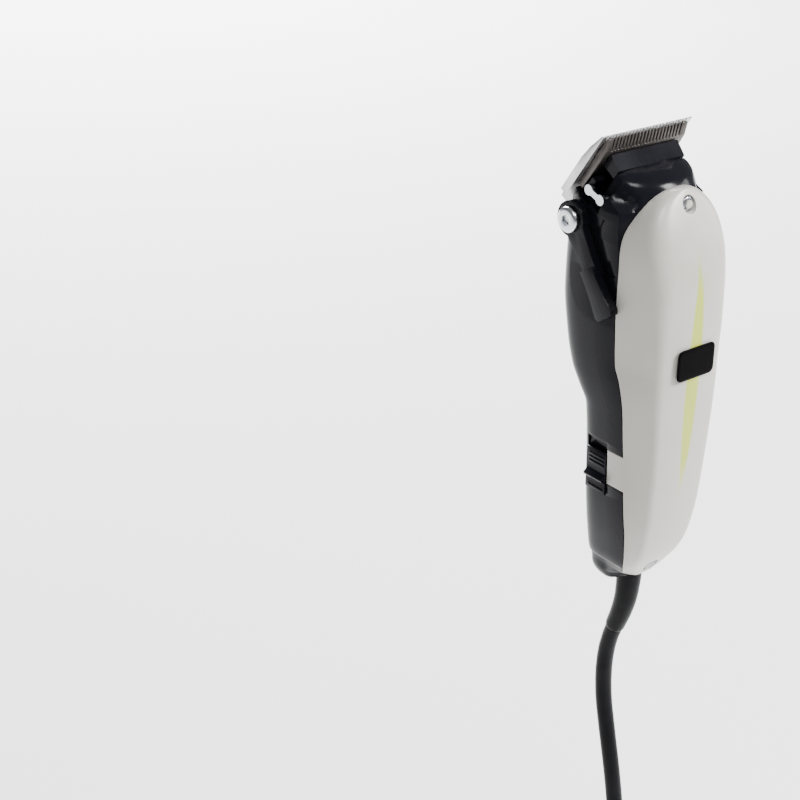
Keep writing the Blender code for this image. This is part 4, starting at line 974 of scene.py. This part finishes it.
def s_bend(start, lateral, y_end, radius):
    """Two equal arcs that step a downward run sideways and leave it heading down again."""
    angle = math.acos(1 - abs(lateral) / (2 * radius))
    x0, y0, z0 = start
    side = math.copysign(1.0, lateral)
    steps = 7
    points = []
    for i in range(1, 2 * steps + 1):
        share = i / (2 * steps)
        if i <= steps:
            a = angle * i / steps
            across, down = radius * (1 - math.cos(a)), radius * math.sin(a)
        else:
            a = angle * (2 * steps - i) / steps
            across = abs(lateral) - radius * (1 - math.cos(a))
            down = radius * (2 * math.sin(angle) - math.sin(a))
        points.append((x0 + side * across, y0 + (y_end - y0) * share, z0 - down))
    return points


def cord_points():
    """From the sleeve down to the hank, round its turns from front to back, and down to the plug."""
    radius = HANK_RADIUS - CORD_RADIUS
    top = HANK_TOP - HANK_RADIUS
    bottom = top - HANK_STRAIGHT
    points = smooth_route(CORD_ROUTE, 6.0)
    points += s_bend(points[-1], radius, 0.0, radius)
    steps = 18
    for turn in range(HANK_TURNS):
        y, next_y = turn * HANK_PITCH, (turn + 1) * HANK_PITCH
        if turn:
            points.append((radius, y, top - HANK_STRAIGHT / 2))
        angles = [math.pi * i / steps for i in range(steps + 1)]
        points += [(radius * math.cos(a), y, bottom - radius * math.sin(a)) for a in angles]
        for share in (0.2, 0.35, 0.5, 0.65, 0.8):
            across = y + (next_y - y) * blend_step(share, 0.1, 0.9)
            points.append((-radius, across, bottom + HANK_STRAIGHT * share))
        points += [(-radius * math.cos(a), next_y, top + radius * math.sin(a)) for a in angles]
    last_y = HANK_TURNS * HANK_PITCH
    lateral_start = (radius, last_y, bottom + 14.0)
    points.append(lateral_start)
    points += s_bend(lateral_start, -radius, HANK_BACK_Y, radius)
    points.append((0.0, HANK_BACK_Y, PLUG_TOP + 9.0))
    points.append((0.0, HANK_BACK_Y, PLUG_TOP - 1.5))
    return points


def make_cord(mat):
    """The whole cord as one piece, standing for the three CAD nodes that its route runs through."""
    points = cord_points()
    curve = bpy.data.curves.new("mains_cord", "CURVE")
    curve.dimensions = "3D"
    curve.bevel_depth = CORD_RADIUS * MM
    curve.bevel_resolution = 6
    curve.use_fill_caps = True
    spline = curve.splines.new("POLY")
    spline.points.add(len(points) - 1)
    for target, point in zip(spline.points, points):
        target.co = (*(Vector(point) * MM), 1.0)
    obj = bpy.data.objects.new("mains_cord", curve)
    bpy.context.scene.collection.objects.link(obj)
    show(obj, mat, "cord_black", "housing", "power_cord", "cord_hank", "cord_end")


def rounded_frame(half_x, half_y, radius, steps=8):
    outline = []
    for cx, cy, first in ((1, 1, 0), (-1, 1, 90), (-1, -1, 180), (1, -1, 270)):
        outline += arc((cx * (half_x - radius), cy * (half_y - radius)), radius, first, first + 90, steps)
    return outline


def make_tie(mat):
    """Flat strap round the waist of the hank with an overlapped end in front."""
    cx, cy, cz = TIE_CENTRE
    inner_x, inner_y = 28.15, 21.4
    outer = [(x + cx, y + cy) for x, y in rounded_frame(inner_x + 1.3, inner_y + 1.3, 4.6)]
    inner = [(x + cx, y + cy) for x, y in rounded_frame(inner_x, inner_y, 3.4)]
    obj = place(prism(outer, "Z", cz - 6.0, cz + 6.0), "strap_tie")
    cut(obj, prism(inner, "Z", cz - 7.0, cz + 7.0))
    add(obj, box((-7.0, cy - inner_y - 2.0, cz - 5.4), (16.0, cy - inner_y - 0.6, cz + 5.4)))
    soften(obj, 0.4, 40)
    show(obj, mat, "cord_black", "housing", "cord_tie")
    return obj


def make_plug(mat, pin_mat):
    """Flat two-pin plug with a grooved grip, and its two round pins."""
    top = PLUG_TOP
    outline = [
        (4.6, top), (5.6, top - 3.4), (8.4, top - 7.6), (12.2, top - 13.4), (13.2, top - 18.0),
        (13.2, top - 30.0), (11.8, top - 32.0),
    ]
    outline += [(-x, z) for x, z in reversed(outline)]
    front, back = HANK_BACK_Y - PLUG_HALF_DEPTH, HANK_BACK_Y + PLUG_HALF_DEPTH
    obj = place(prism(outline, "Y", front, back), "plug_shell")
    for i in range(4):
        z = top - 17.0 - 2.6 * i
        for face in (-1, 1):
            y = HANK_BACK_Y + face * PLUG_HALF_DEPTH
            low_y, high_y = sorted((y, y - face * 0.7))
            cut(obj, box((-8.5, low_y, z - 0.6), (8.5, high_y + 0.01, z + 0.6)))
    for side in (-1, 1):
        x = side * PLUG_PIN_X
        cut(obj, rod((x, HANK_BACK_Y, top - 26.0), (x, HANK_BACK_Y, top - 34.0), 2.3))
    soften(obj, 0.9, 40, 3)
    show(obj, mat, "black_plastic", "housing", "plug_body")
    found = [obj]
    for side, label in ((-1, "left"), (1, "right")):
        profile = [(2.0, 0.0), (2.0, 24.0), (1.85, 24.8), (1.4, 25.4), (0.7, 25.7)]
        pin_top = (side * PLUG_PIN_X, HANK_BACK_Y, top - 26.3)
        pin = place(turned(profile, pin_top, (0, 0, -1)), f"round_pin_{label}")
        soften(pin, 0.0, 50)
        found.append(show(pin, pin_mat, "screw_steel", "housing", f"plug_pin_{label}"))
    return found


# ---------------------------------------------------------------- springs

def make_spring(name, mat, node, x0, x1, turns):
    """Helical spring along X, wound between x0 and x1."""
    wire, radius, sides = SPRING_WIRE_RADIUS, SPRING_RADIUS, 10
    count = turns * 20
    pitch = (x1 - x0 - 2 * wire) / (2 * math.pi * turns)
    rings = []
    for i in range(count + 1):
        angle = 2 * math.pi * turns * i / count
        outward = Vector((0, math.cos(angle), math.sin(angle)))
        along = Vector((pitch, -radius * math.sin(angle), radius * math.cos(angle))).normalized()
        other = along.cross(outward)
        centre = Vector((x0 + wire + pitch * angle, MOTOR_Y, SPRING_Z)) + outward * radius
        corners = [2 * math.pi * k / sides for k in range(sides)]
        rings.append([centre + wire * (math.cos(a) * outward + math.sin(a) * other) for a in corners])
    obj = soften(place(loft(rings), name), 0.0, 50)
    show(obj, mat, "screw_steel", "housing", node)
    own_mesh(obj)


# ---------------------------------------------------------------- what stays from the CAD

def dress_nodes(mats):
    """Inner nodes keep their CAD shapes and take a procedural finish each."""
    kept = {
        "blade_guide": "black_plastic", "blade_spring": "screw_steel", "guide_link": "screw_steel",
        "blade_screw_left": "screw_steel", "blade_screw_right": "screw_steel",
        "lever_shaft": "die_cast_alloy", "stator_core": "laminated_steel",
        "coil_bobbin": "bobbin_plastic", "coil": "copper_winding",
        "core_screw_rear": "screw_steel", "core_screw_front": "screw_steel", "drive_arm": "die_cast_alloy",
        "armature": "laminated_steel", "arm_finger": "black_plastic", "arm_pivot_pin": "screw_steel",
        "arm_bracket": "die_cast_alloy", "bracket_screw": "screw_steel",
        "switch_block": "bobbin_plastic", "switch_contact": "brass",
        "lead_line": "lead_brown", "lead_neutral": "lead_blue", "lead_switch": "lead_white",
    }
    for name, slot in kept.items():
        mesh = nodes[name].data
        mesh.materials.clear()
        mesh.materials.append(mats[slot])


def main():
    make_camera()
    make_studio()
    mats = {name: finish_material(name) for name in FINISHES if name != "floor_paper"}
    dress_nodes(mats)
    relief = make_strain_relief(mats["cord_black"])
    tie = make_tie(mats["cord_black"])
    plug = make_plug(mats["black_plastic"], mats["screw_steel"])
    make_cord(mats["cord_black"])

    add_stripe(mats["cream_plastic"])
    make_cover(mats["cream_plastic"])
    make_housing(mats["black_plastic"])
    make_badge(mats["badge_black"])
    make_fixed_blade(mats["blade_steel"])
    make_moving_blade(mats["dark_blade_steel"])
    make_lever(mats["black_plastic"])
    make_lever_screw(mats["screw_steel"])
    make_power_screw(mats["screw_steel"])
    make_switch(mats["black_plastic"])
    make_spring("spring_left", mats["screw_steel"], "return_spring_left", -19.7, -13.6, 3)
    make_spring("spring_right", mats["screw_steel"], "return_spring_right", -7.4, 12.3, 7)
    dull = mats["dull_screw_steel"]
    front_top = (0, -9.6 - GAP - 1.5, FRONT_SCREW_Z)
    make_screw("cover_screw_front", dull, "front_cover_screw", front_top, (0, 1, 0), 10.0)
    rear_top = REAR_SCREW_SEAT - REAR_SCREW_INWARD * 1.1
    make_screw("cover_screw_rear", dull, "rear_cover_screw", rear_top, REAR_SCREW_INWARD, 11.5)


main()
